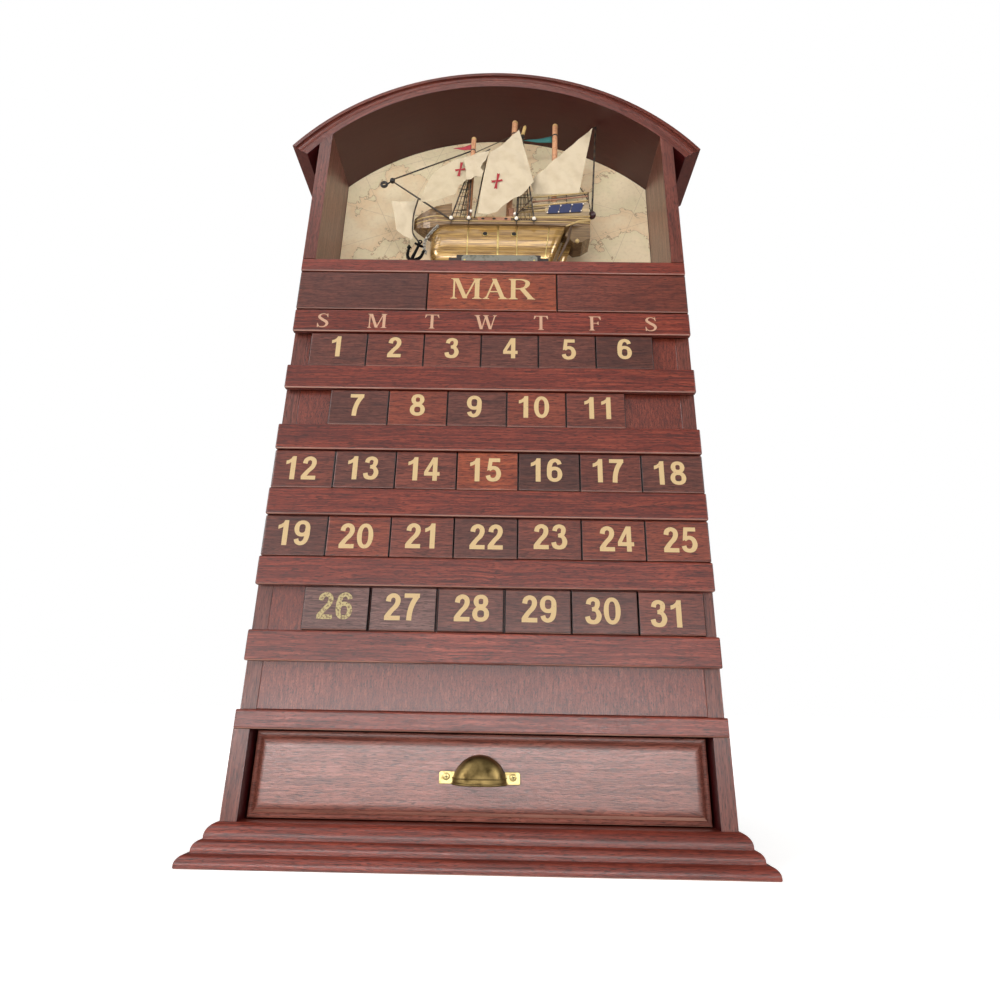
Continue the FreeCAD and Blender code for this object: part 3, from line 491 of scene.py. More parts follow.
@dataclass(frozen=True)
class CastMetal(Finish):
    """A cast or stamped metal, from polished to aged.

    The eye sees a tinted mirror, broken by fine scratches and by darker patina in patches.
    """

    name: str
    bright: str
    aged: str
    roughness: float
    patina: float = 0.5  # share of the surface that has aged
    patch: float = 6.0  # mm
    scratch: float = 0.4  # mm

    def paint(self, tree: Tree, shader: Node) -> None:
        """Adds patina in patches over scratched metal.

        Args:
            tree: the material's node tree.
            shader: its shader node.
        """
        add = partial(add_node, tree)
        at = add("TexCoord").outputs["Object"]
        cloud = add("TexNoise", {"Vector": at, "Scale": 1 / (self.patch * MM), "Detail": 5.0})
        share = add("MapRange", {0: cloud, 1: 0.75 - 0.5 * self.patina, 2: 0.95 - 0.5 * self.patina})
        colour = add("Mix", {0: share, 6: linear(self.bright), 7: linear(self.aged)}, data_type="RGBA")
        fine = add("TexNoise", {"Vector": at, "Scale": 1 / (self.scratch * MM), "Detail": 3.0})
        rough = add("MapRange", {0: fine, 1: 0.3, 2: 0.7, 3: self.roughness - 0.05, 4: self.roughness + 0.1})
        bump = add("Bump", {"Height": fine, "Strength": 0.12, "Distance": 0.05 * MM})
        connect(tree, shader, {"Base Color": colour, "Roughness": rough, "Normal": bump, "Metallic": 1.0})


@dataclass(frozen=True)
class Coating(Finish):
    """A paint, ink, foil or enamel, brushed or rubbed on in a thin coat.

    The eye sees one colour that is a little worn and uneven where it lies thin.
    """

    name: str
    colour: str
    worn: str
    roughness: float = 0.4
    grit: float = 0.8  # mm
    wear: float = 0.35  # share that is worn

    def paint(self, tree: Tree, shader: Node) -> None:
        """Adds wear in specks and a faint unevenness.

        Args:
            tree: the material's node tree.
            shader: its shader node.
        """
        add = partial(add_node, tree)
        at = add("TexCoord").outputs["Object"]
        speck = add("TexNoise", {"Vector": at, "Scale": 1 / (self.grit * MM), "Detail": 4.0})
        share = add("MapRange", {0: speck, 1: 0.72 - 0.4 * self.wear, 2: 0.86 - 0.4 * self.wear, 3: 0.0,
                                 4: 0.8})
        colour = add("Mix", {0: share, 6: linear(self.colour), 7: linear(self.worn)}, data_type="RGBA")
        bump = add("Bump", {"Height": speck, "Strength": 0.2, "Distance": 0.03 * MM})
        connect(tree, shader, {"Base Color": colour, "Roughness": self.roughness, "Normal": bump})


@dataclass(frozen=True)
class LacqueredPlank(Finish):
    """Pale hardwood planks, toned olive and dipped in gloss lacquer.

    The eye sees golden wood with fine dark seams between planks, under a clear hard gloss.
    """

    name: str
    pale: str
    deep: str
    plank: float = 3.1  # mm between seams
    seam: float = 0.09  # share of a plank that is seam
    roughness: float = 0.24
    coat: float = 0.7  # weight of the lacquer
    bronze: float = 0.35  # share of bronze powder in the lacquer

    SEAM = "#3a2a16"

    def paint(self, tree: Tree, shader: Node) -> None:
        """Adds plank seams, grain and gloss.

        Args:
            tree: the material's node tree.
            shader: its shader node.
        """
        add = partial(add_node, tree)
        at = add("TexCoord").outputs["Object"]
        streak_at = add("Mapping", {"Vector": at, "Scale": (70.0, 900.0, 900.0)})
        streak = add("TexNoise", {"Vector": streak_at, "Scale": 1.0, "Detail": 4.0})
        tone = add("ValToRGB", {0: streak})
        ramp_stops(tone, [(0.34, self.deep), (0.62, self.pale)])
        height = add("SeparateXYZ", {0: at}).outputs["Z"]
        row = add("Math", {0: height, 1: 1 / (self.plank * MM)}, operation="MULTIPLY")
        part = add("Math", {0: row}, operation="FRACT")
        seam = add("Math", {0: part, 1: self.seam}, operation="LESS_THAN")
        number = add("Math", {0: row}, operation="FLOOR")
        own = add("TexWhiteNoise", {"W": number}, noise_dimensions="1D")
        shade = add("MapRange", {0: own, 3: 0.0, 4: 0.45})
        toned = add("Mix", {0: shade, 6: tone, 7: linear(self.deep)}, data_type="RGBA")
        dark = add("Math", {0: seam, 1: 0.6}, operation="MULTIPLY")
        colour = add("Mix", {0: dark, 6: toned, 7: linear(self.SEAM)}, data_type="RGBA")
        bump = add("Bump", {"Height": seam, "Strength": 0.3, "Distance": 0.1 * MM}, invert=True)
        connect(tree, shader, {"Base Color": colour, "Roughness": self.roughness, "Normal": bump, "IOR": 1.5,
                               "Metallic": self.bronze, "Coat Weight": self.coat, "Coat Roughness": 0.12})


@dataclass(frozen=True)
class SailCloth(Finish):
    """Cotton lawn, woven plain and stiffened with size.

    The eye sees an off-white, matt cloth with a faint weave and soiled patches.
    """

    name: str
    colour: str
    soiled: str
    thread: float = 0.35  # mm; real threads are 0.15 mm, drawn coarser so that they show

    def paint(self, tree: Tree, shader: Node) -> None:
        """Adds a plain weave and soiled patches.

        Args:
            tree: the material's node tree.
            shader: its shader node.
        """
        add = partial(add_node, tree)
        at = add("TexCoord").outputs["Object"]
        cloud = add("TexNoise", {"Vector": at, "Scale": 110.0, "Detail": 4.0})
        share = add("MapRange", {0: cloud, 1: 0.45, 2: 0.75, 3: 0.0, 4: 0.6})
        turn = add("Mapping", {"Vector": at, "Rotation": (0.0, 0.35, 0.0)})
        waves = [add("TexWave", {"Vector": turn, "Scale": 1 / (self.thread * MM) / 20, "Distortion": 0.4},
                     bands_direction=way) for way in ("X", "Z")]
        weave = add("Math", {0: waves[0].outputs["Fac"], 1: waves[1].outputs["Fac"]}, operation="MULTIPLY")
        colour = add("Mix", {0: share, 6: linear(self.colour), 7: linear(self.soiled)}, data_type="RGBA")
        bump = add("Bump", {"Height": weave, "Strength": 0.25, "Distance": 0.06 * MM})
        connect(tree, shader, {"Base Color": colour, "Roughness": 0.85, "Normal": bump, "Sheen Weight": 0.15})


@dataclass(frozen=True)
class LaidCord(Finish):
    """Cotton cord, twisted and waxed.

    The eye sees a thin dark line with a slanting twist and a dull sheen.
    """

    name: str
    colour: str
    lay: float = 0.9  # mm from strand to strand

    # painted shade in the grooves between strands
    GROOVE = "#120d0a"

    def paint(self, tree: Tree, shader: Node) -> None:
        """Adds the twist, with painted shade in its grooves.

        Args:
            tree: the material's node tree.
            shader: its shader node.
        """
        add = partial(add_node, tree)
        at = add("TexCoord").outputs["Object"]
        slant = add("Mapping", {"Vector": at, "Rotation": (0.0, 0.6, 0.0)})
        twist = add("TexWave", {"Vector": slant, "Scale": 1 / (self.lay * MM) / 20, "Distortion": 1.5},
                    bands_direction="Z")
        colour = add("Mix", {0: twist.outputs["Fac"], 6: linear(self.GROOVE), 7: linear(self.colour)},
                     data_type="RGBA")
        bump = add("Bump", {"Height": twist.outputs["Fac"], "Strength": 0.5, "Distance": 0.1 * MM})
        connect(tree, shader, {"Base Color": colour, "Roughness": 0.6, "Normal": bump})


@dataclass(frozen=True)
class PrintedCard(Finish):
    """Card printed with a made-up old sea chart, matt.

    The eye sees cream paper with thin brown coasts, pale washes of colour and ruled compass lines.
    """

    name: str
    paper: str
    land: str
    sea: str
    ink: str
    island: float = 60.0  # mm; size of a made-up land
    line: float = 0.35  # mm; real lines are 0.15 mm, drawn wider so that they show

    FOXING = "#c9b08a"  # brown flecks of age
    RULED = ((0.42, 46.0), (-0.36, 52.0), (1.25, 61.0), (-1.2, 57.0))  # slope in radians, and gap in mm

    def ruled(self, tree: Tree, at: Socket, slope: float, gap: float) -> Socket:
        """Adds ruled lines.

        Args:
            tree: the material's node tree.
            at: the place on the card.
            slope: their slope in radians.
            gap: from line to line, in millimetres.

        Returns:
            A socket that is 1 on the lines.
        """
        way = add_node(tree, "VectorMath", {0: at, 1: (cos(slope), 0.0, sin(slope))}, operation="DOT_PRODUCT")
        row = add_node(tree, "Math", {0: way, 1: 1 / (gap * MM)}, operation="MULTIPLY")
        part = add_node(tree, "Math", {0: row}, operation="FRACT")
        return add_node(tree, "Math", {0: part, 1: self.line / gap}, operation="LESS_THAN").outputs[0]

    def paint(self, tree: Tree, shader: Node) -> None:
        """Adds paper, washes, coasts and ruled lines.

        Args:
            tree: the material's node tree.
            shader: its shader node.
        """
        add = partial(add_node, tree)
        at = add("TexCoord").outputs["Object"]
        lands = add("TexNoise", {"Vector": at, "Scale": 1 / (self.island * MM), "Detail": 6.0,
                                 "Roughness": 0.6})
        wash = add("ValToRGB", {0: lands})
        ramp_stops(wash, [(0.40, self.paper), (0.485, self.sea), (0.505, self.land), (0.60, self.paper)])
        off = add("Math", {0: lands, 1: 0.497}, operation="SUBTRACT")
        near = add("Math", {0: off}, operation="ABSOLUTE")
        coast = add("Math", {0: near, 1: 0.0035}, operation="LESS_THAN")
        lines = [self.ruled(tree, at, slope, gap) for slope, gap in self.RULED]
        total = lines[0]
        for one in lines[1:]:
            total = add("Math", {0: total, 1: one}, operation="MAXIMUM").outputs[0]
        faint = add("Math", {0: total, 1: 0.28}, operation="MULTIPLY")
        strong = add("Math", {0: coast, 1: 0.5}, operation="MULTIPLY")
        ink = add("Math", {0: faint, 1: strong}, operation="MAXIMUM")
        fleck = add("TexNoise", {"Vector": at, "Scale": 420.0, "Detail": 3.0})
        mottle = add("MapRange", {0: fleck, 1: 0.5, 2: 0.8, 3: 0.0, 4: 0.35})
        aged = add("Mix", {0: mottle, 6: wash, 7: linear(self.FOXING)}, data_type="RGBA")
        colour = add("Mix", {0: ink, 6: aged, 7: linear(self.ink)}, data_type="RGBA")
        connect(tree, shader, {"Base Color": colour, "Roughness": 0.7})


# Boards of the case: dark brown streaks in red-brown, under varnish that was wiped on thicker or thinner.
MAHOGANY = StainedMahogany("mahogany_satin", "#481b14", "#762f22", "#904232", gloss=0.35)
# The drawer front's stain is paler and greyer: painted glare from the light on its varnish.
MAHOGANY_DRAWER_GLARE = StainedMahogany("mahogany_satin_drawer", "#552c24", "#82483b", "#9c5e4f", gloss=1.0)
# The sides inside the drawer opening and the arch's underside are darkened: painted shade over stain left on
# inside.
MAHOGANY_UPRIGHT = StainedMahogany("mahogany_satin_upright", "#45201a", "#69352a", "#82473a", Grain.UPRIGHT,
                                   gloss=0.25, shade_inside=112.2)
MAHOGANY_ARCH = StainedMahogany("mahogany_satin_arch", "#471d16", "#6c3227", "#874738", Grain.ROUND_ARCH,
                                shade_inside=159.0)
MAHOGANY_RAIL = StainedMahogany("mahogany_satin_rail", "#3a1410", "#702b1f", "#984632", streak_width=1.0)
PANEL_WOOD = StainedMahogany("mahogany_satin_panel", "#451a13", "#6f2d1f", "#8a4230", Grain.UPRIGHT,
                             gloss=0.4, streak_width=0.8, streak_length=6.0, pore_length=1.2)
# Hidden boards: dull, dry and pale.
DRAWER_LINING = StainedMahogany("drawer_lining_plain_wood", "#4c3026", "#6b4737", "#85604c", roughness=0.6,
                                gloss=0.0)
BACK_WOOD = StainedMahogany("plain_back_wood", "#4f2f25", "#6d4535", "#835846", roughness=0.55, gloss=0.1)
# Ebonised: near black, with a low sheen that still shows the grain.
STAND_WOOD = StainedMahogany("ebonised_stand_wood", "#1c1614", "#2a221e", "#38302a", roughness=0.45,
                             gloss=0.2)
# Heat-pressed gilt foil: dull pale gold, with the wood showing through where it is rubbed.
GILT = Coating("gilt_transfer", "#bb9f72", "#8f7450", 0.55, wear=0.25)
GILT_WORN = Coating("gilt_transfer_rubbed", "#a9986a", "#54382b", 0.6, 1.1, wear=0.6)
ROSE_GILT = Coating("rose_gilt_transfer", "#b48d72", "#8d6150", 0.55, wear=0.25)
# Brass, stamped: brown with age on the cup, and rubbed bright where fingers and cloths reach.
BRASS_AGED = CastMetal("brass_aged", "#806c44", "#45371f", 0.38, 0.55)
BRASS_BRIGHT = CastMetal("polished_brass", "#d2bf84", "#947c4c", 0.34, 0.45, patch=2.5)
# The other metals: gilt straps that glint, dull black iron, bright links and a soft grey plate.
STRAP = CastMetal("gilt_strap", "#d9bf7c", "#9c7c42", 0.3, 0.45, patch=3.0)
IRON = CastMetal("blackened_cast_iron", "#1b1918", "#0c0b0b", 0.55, 0.5)
STEEL = CastMetal("plated_chain", "#b9b5ac", "#4a4844", 0.3, 0.5, patch=1.5)
PEWTER = CastMetal("brushed_pewter_plate", "#9a988c", "#6d6a5e", 0.45, 0.45, patch=4.0)
# Planks: golden and glossy on the round hull, duller and darker further up.
HULL_WOOD = LacqueredPlank("hull_lacquered_planks", "#caa15b", "#82613a")
UPPER_WOOD = LacqueredPlank("upper_strakes_lacquered", "#957650", "#5c442d", 2.2, 0.16, 0.42, 0.1, 0.1)
CASTLE_WOOD = LacqueredPlank("castle_lacquered_planks", "#a88c5a", "#715834", 3.4, 0.14)
DECK_WOOD = LacqueredPlank("deck_planks", "#8f7350", "#5f4830", 2.0, 0.12, 0.4)
# Paints on the ship's rails and trim, rubbed back at the edges.
RAIL_PINK = Coating("rubbed_rose_paint", "#a4745a", "#7c523c", 0.45)
RAIL_GOLD = Coating("rubbed_gold_paint", "#b89b66", "#8a6f42", 0.4)
RAIL_DARK = Coating("rubbed_brown_paint", "#4f3a28", "#2d1f15", 0.5)
NAVY = Coating("navy_enamel", "#16204a", "#0e142e", 0.3)
KNOB = Coating("maroon_lacquered_knob", "#3c1f22", "#241113", 0.3)
PEARL = Coating("pearl_lacquered_bead", "#efe2d2", "#cdb9a4", 0.2, wear=0.2)
RING = Coating("black_ring", "#1b1612", "#0c0a08", 0.35)
# Painted shade: near black, for the shade inside screw slots, port holes and gun slots.
SHADOWED = Coating("painted_shade_recess", "#0e0a06", "#070503", 0.8)
# Turned dowels, oiled: warm, matt and a little patchy; the spars are tarred nearly black.
DOWEL = Coating("oiled_birch_dowel", "#c48e68", "#a06c4c", 0.5, 1.6, 0.6)
DOWEL_PALE = Coating("oiled_beech_dowel", "#c9a868", "#a3824c", 0.5, 1.6, 0.6)
SPAR = Coating("tarred_spar", "#3b2e22", "#1d1610", 0.5)
# Cloth, cord, paper and card: matt, and lighter or browner as they were handled.
CORD = LaidCord("waxed_cord", "#4d3c2b")
NET_CORD = LaidCord("brown_net_cord", "#86683f")
SAIL = SailCloth("sized_cotton_sail", "#c4b397", "#ab977a")
# Painted shade: a darker copy of the sail cloth, for the shaded fore sail.
SAIL_SHADED = SailCloth("sized_cotton_sail_soiled", "#bfae90", "#a18d70")
CROSS = Coating("red_fabric_paint", "#98202a", "#70181d", 0.75, 0.6)
RED_PAPER = Coating("red_paper_pennant", "#a5303a", "#7c222b", 0.7)
GREEN_PAPER = Coating("green_paper_pennant", "#24605c", "#173f3f", 0.7)
CHART = PrintedCard("printed_sea_chart", "#f4e1bd", "#eed2aa", "#e9dab4", "#7d5a40")


class Tone(Enum):
    """Stain of a tile: each was stained by hand, so that no two boards match."""

    DARKEST = ("#2e1511", "#4a2720", "#613529")
    DARK = ("#381a15", "#5a2f26", "#744135")
    BROWN = ("#401b15", "#6a3226", "#854434")
    RED = ("#481c15", "#783524", "#924a33")
    ORANGE = ("#521f14", "#8a3e24", "#a65635")
    # Painted glare: a greyer, paler stain for the tiles where the light glares.
    GREYED = ("#3f2320", "#66433c", "#805e56")

    def finish(self, turn: int) -> StainedMahogany:
        """The finish of a tile in this tone, cut from its own place in the board.

        Args:
            turn: the tile's number.

        Returns:
            The finish.
        """
        dark, mid, light = self.value
        name = f"tile_mahogany_{self.name.lower()}_{turn % 2}"
        return StainedMahogany(name, dark, mid, light, streak_width=1.1, streak_length=16.0,
                               shift=0.37 * (turn % 2), loose=True)


# -------- case and tiles

def dress_node(node: str, finish: Finish, arris: float = 0.0) -> None:
    """Gives a CAD node its finish, and softens its edges.

    Args:
        node: the node's name.
        finish: the finish of its faces.
        arris: width of its softened edges, in millimetres.
    """
    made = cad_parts[node]
    if not made.data.materials:
        made.data.materials.append(None)
    for place in made.material_slots:
        place.link = "OBJECT"
        place.material = finish.material()
    if arris:
        weld = made.modifiers.new("weld", "WELD")
        weld.merge_threshold = 0.01 * MM
        bevel = made.modifiers.new("arris", "BEVEL")
        bevel.width = arris * MM
        bevel.segments = 2
        bevel.limit_method = "ANGLE"
        bevel.angle_limit = radians(38)
        bevel.use_clamp_overlap = True
        level = made.modifiers.new("level", "WEIGHTED_NORMAL")
        level.keep_sharp = True
    log.info("node %s: %s", node, finish.name)


@dataclass(frozen=True)
class Board:
    """A board of the case: its node, its finish, and how far its edges are softened."""

    node: str
    finish: Finish
    arris: float = 0.0  # mm


@dataclass
class Case:
    """The case: base, sides, arch, shelf, divider, rails and panels."""

    boards: tuple[Board, ...] = (Board("base_board", MAHOGANY),
                                 Board("left_side_panel", MAHOGANY_UPRIGHT, 0.5),
                                 Board("right_side_panel", MAHOGANY_UPRIGHT, 0.5),
                                 Board("drawer_divider", MAHOGANY), Board("shadow_box_shelf", MAHOGANY),
                                 Board("arch_roof", MAHOGANY_ARCH, 0.6), Board("weekday_rail", MAHOGANY_RAIL),
                                 Board("tile_rails", MAHOGANY_RAIL), Board("calendar_panel", PANEL_WOOD, 0.4),
                                 Board("back_panel", BACK_WOOD, 0.3))

    def dress(self) -> None:
        """Dresses every board of the case."""
        for board in self.boards:
            dress_node(board.node, board.finish, board.arris)


@dataclass(frozen=True)
class TileFace:
    """A tile of the calendar: its node, stain and what is printed on it."""

    node: str
    tone: Tone
    text: str = ""


class Glyph:
    """A character drawn as strokes in a unit of its height: plain bold figures, and capitals with serifs."""

    THICK, THIN = 0.14, 0.055  # strokes of a capital
    SERIF = 0.075  # how far a serif stands out from its stroke
    BOLD = 0.19  # strokes of a figure
    WIDTHS = {"S": 0.62, "M": 0.98, "T": 0.74, "W": 1.12, "F": 0.66, "A": 0.8, "R": 0.82}
    FIGURE_WIDTH = 0.70
    POLYGONS = {"1": [[(0.29, 0), (0.485, 0), (0.485, 1), (0.33, 1), (0.28, 0.90), (0.19, 0.83),
                       (0.095, 0.80), (0.095, 0.645), (0.2, 0.68), (0.29, 0.735)]],
                "2": [[(0.05, 0), (0.63, 0), (0.63, 0.165), (0.05, 0.165)]],
                "4": [[(0.39, 0), (0.57, 0), (0.57, 1), (0.39, 1)],
                      [(0.05, 0.37), (0.205, 0.37), (0.40, 0.74), (0.40, 1), (0.38, 1)],
                      [(0.05, 0.215), (0.67, 0.215), (0.67, 0.37), (0.05, 0.37)]],
                "5": [[(0.16, 0.84), (0.60, 0.84), (0.60, 1), (0.16, 1)],
                      [(0.15, 1), (0.31, 1), (0.25, 0.53), (0.085, 0.46)]],
                "7": [[(0.06, 0.84), (0.63, 0.84), (0.63, 1), (0.06, 1)]],
                "T": [[(0.04, 0.95), (0.70, 0.95), (0.70, 1), (0.04, 1)],
                      [(0.015, 0.76), (0.045, 0.76), (0.13, 0.955), (0.04, 1)],
                      [(0.725, 0.76), (0.695, 0.76), (0.61, 0.955), (0.70, 1)]],
                "F": [[(0.17, 0.95), (0.58, 0.95), (0.58, 1), (0.17, 1)],
                      [(0.62, 0.76), (0.59, 0.76), (0.49, 0.96), (0.60, 1)],
                      [(0.17, 0.495), (0.46, 0.495), (0.46, 0.545), (0.17, 0.545)],
                      [(0.47, 0.40), (0.50, 0.40), (0.50, 0.64), (0.47, 0.64), (0.42, 0.52)]],
                "A": [[(0.22, 0.335), (0.57, 0.335), (0.55, 0.385), (0.24, 0.385)]],
                "S": [[(0.50, 0.99), (0.53, 0.99), (0.55, 0.72), (0.525, 0.72), (0.47, 0.88)],
                      [(0.04, 0.01), (0.07, 0.01), (0.12, 0.14), (0.055, 0.31), (0.03, 0.31)]]}
    # Curved strokes: points of the middle line, and the width at each.
    SWEEPS = {"2": [[(0.16, 0.69, 0.19), (0.20, 0.84, 0.18), (0.345, 0.92, 0.16), (0.49, 0.85, 0.18),
                     (0.525, 0.70, 0.19), (0.46, 0.53, 0.18), (0.30, 0.35, 0.17), (0.16, 0.15, 0.19),
                     (0.14, 0.08, 0.17)]],
              "3": [[(0.16, 0.73, 0.18), (0.20, 0.86, 0.17), (0.34, 0.925, 0.15), (0.48, 0.86, 0.17),
                     (0.50, 0.74, 0.18), (0.45, 0.60, 0.16), (0.30, 0.55, 0.13)],
                    [(0.30, 0.545, 0.13), (0.47, 0.50, 0.15), (0.55, 0.31, 0.19), (0.48, 0.13, 0.18),
                     (0.33, 0.075, 0.15), (0.17, 0.13, 0.18), (0.12, 0.28, 0.18)]],
              "5": [[(0.16, 0.50, 0.14), (0.31, 0.59, 0.15), (0.48, 0.53, 0.17), (0.55, 0.33, 0.19),
                     (0.48, 0.14, 0.18), (0.32, 0.075, 0.15), (0.17, 0.13, 0.17), (0.12, 0.26, 0.18)]],
              "6": [[(0.135, 0.33, 0.19), (0.14, 0.62, 0.19), (0.21, 0.84, 0.18), (0.365, 0.925, 0.15),
                     (0.50, 0.86, 0.17), (0.545, 0.75, 0.18)]],
              "7": [[(0.53, 0.90, 0.19), (0.38, 0.63, 0.19), (0.29, 0.32, 0.19), (0.265, 0.0, 0.19)]],
              "S": [[(0.53, 0.74, 0.03), (0.47, 0.90, 0.05), (0.30, 0.97, 0.055), (0.14, 0.88, 0.10),
                     (0.12, 0.72, 0.14), (0.29, 0.55, 0.16), (0.46, 0.41, 0.16), (0.52, 0.25, 0.13),
                     (0.43, 0.085, 0.09), (0.26, 0.03, 0.055), (0.11, 0.10, 0.05), (0.05, 0.28, 0.03)]],
              "R": [[(0.20, 0.97, 0.055), (0.44, 0.965, 0.06), (0.59, 0.87, 0.12), (0.61, 0.74, 0.14),
                     (0.54, 0.59, 0.10), (0.40, 0.52, 0.06), (0.20, 0.51, 0.055)]]}
    # Ovals: middle, and half of the width and height.
    RINGS = {"0": [(0.34, 0.5, 0.22, 0.425)], "6": [(0.345, 0.325, 0.215, 0.25)],
             "8": [(0.34, 0.745, 0.18, 0.18), (0.34, 0.285, 0.22, 0.21)]}
    # Upright strokes with serifs: place and width. Slanting ones: place and height of the foot, place of the
    # top, and width. Serifs of their own: place, 0 for a foot or 1 for a top, and the stroke's width.
    STEMS = {"M": [(0.13, THIN), (0.84, THICK)], "F": [(0.17, THICK)], "R": [(0.17, THICK)]}
    SLANTS = {"M": [(0.48, 0.02, 0.19, THICK), (0.48, 0.02, 0.80, THIN)],
              "W": [(0.34, 0, 0.13, THICK), (0.36, 0, 0.56, THIN), (0.78, 0, 0.54, THICK),
                    (0.80, 0, 1.0, THIN)],
              "T": [(0.37, 0, 0.37, THICK)], "A": [(0.14, 0, 0.40, THIN), (0.66, 0, 0.38, THICK)]}
    FEET = {"T": [(0.37, 0, THICK)], "W": [(0.13, 1, THICK), (0.55, 1, THICK), (1.0, 1, THIN)],
            "A": [(0.14, 0, THIN), (0.66, 0, THICK)], "R": [(0.72, 0, 0.10)]}

    def __init__(self, mark: str) -> None:
        """Draws one character, with its left edge at x 0 and its foot at y 0.

        Args:
            mark: the character.
        """
        self.strips: list[tuple[list[tuple[float, float]], Faces]] = []
        self.width = self.WIDTHS.get(mark, self.FIGURE_WIDTH)
        drawn = "6" if mark == "9" else mark
        for outline in self.POLYGONS.get(drawn, []):
            self.strips.append((outline, [tuple(range(len(outline)))]))
        for spine in self.SWEEPS.get(drawn, []):
            self.sweep(blend_line(spine, 5))
        for x, y, half, tall in self.RINGS.get(drawn, []):
            turns = [tau * k / 28 for k in range(29)]
            self.sweep([Vector((x + half * copysign(abs(cos(t)) ** 0.88, cos(t)),
                                y + tall * copysign(abs(sin(t)) ** 0.88, sin(t)),
                                self.BOLD - 0.04 * abs(sin(t)))) for t in turns])
        for x, width in self.STEMS.get(drawn, []):
            self.slant(x, 0, x, width)
            self.foot(x, 0, width)
            self.foot(x, 1, width)
        for low, start, top, width in self.SLANTS.get(drawn, []):
            self.slant(low, start, top, width)
        for x, y, width in self.FEET.get(drawn, []):
            self.foot(x, y, width)
        if drawn == "R":
            self.strips.append(([(0.36, 0.51), (0.52, 0.53), (0.82, 0.0), (0.64, 0.0)], [(0, 1, 2, 3)]))
        if mark == "9":
            self.strips = [([(0.68 - x, 1 - y) for x, y in points], faces) for points, faces in self.strips]

    def slant(self, low: float, start: float, top: float, width: float) -> None:
        """Adds a straight stroke that is cut off level at both ends.

        Args:
            low: place of its foot.
            start: height of its foot.
            top: place of its top.
            width: its width along the line.
        """
        w = width / 2
        self.strips.append(([(low - w, start), (low + w, start), (top + w, 1.0), (top - w, 1.0)],
                            [(0, 1, 2, 3)]))

    def foot(self, x: float, y: float, width: float) -> None:
        """Adds a serif with curved brackets at the foot or top of a stroke.

        Args:
            x: place of the stroke's middle.
            y: 0 at its foot, or 1 at its top.
            width: width of the stroke.
        """
        w, s, up = width / 2, self.SERIF, 1 - 2 * y
        outline = [(x - w - s, y), (x + w + s, y), (x + w + s, y + 0.03 * up),
                   (x + w + s * 0.35, y + 0.045 * up), (x + w, y + 0.10 * up), (x - w, y + 0.10 * up),
                   (x - w - s * 0.35, y + 0.045 * up), (x - w - s, y + 0.03 * up)]
        self.strips.append((outline, [tuple(range(8))]))

    def sweep(self, line: Sequence[Vector]) -> None:
        """Adds a curved stroke.

        Args:
            line: its middle line, whose third number is the stroke's width.
        """
        points, faces = [], []
        closed = (line[0] - line[-1]).length < 1e-6
        for i, p in enumerate(line):
            before = line[-2] if closed and i == 0 else line[max(i - 1, 0)]
            after = line[1] if closed and i == len(line) - 1 else line[min(i + 1, len(line) - 1)]
            way = Vector((after.x - before.x, after.y - before.y)).normalized() * p.z / 2
            points += [(p.x - way.y, p.y + way.x), (p.x + way.y, p.y - way.x)]
        for i in range(len(line) - 1):
            faces.append((2 * i, 2 * i + 1, 2 * i + 3, 2 * i + 2))
        self.strips.append((points, faces))


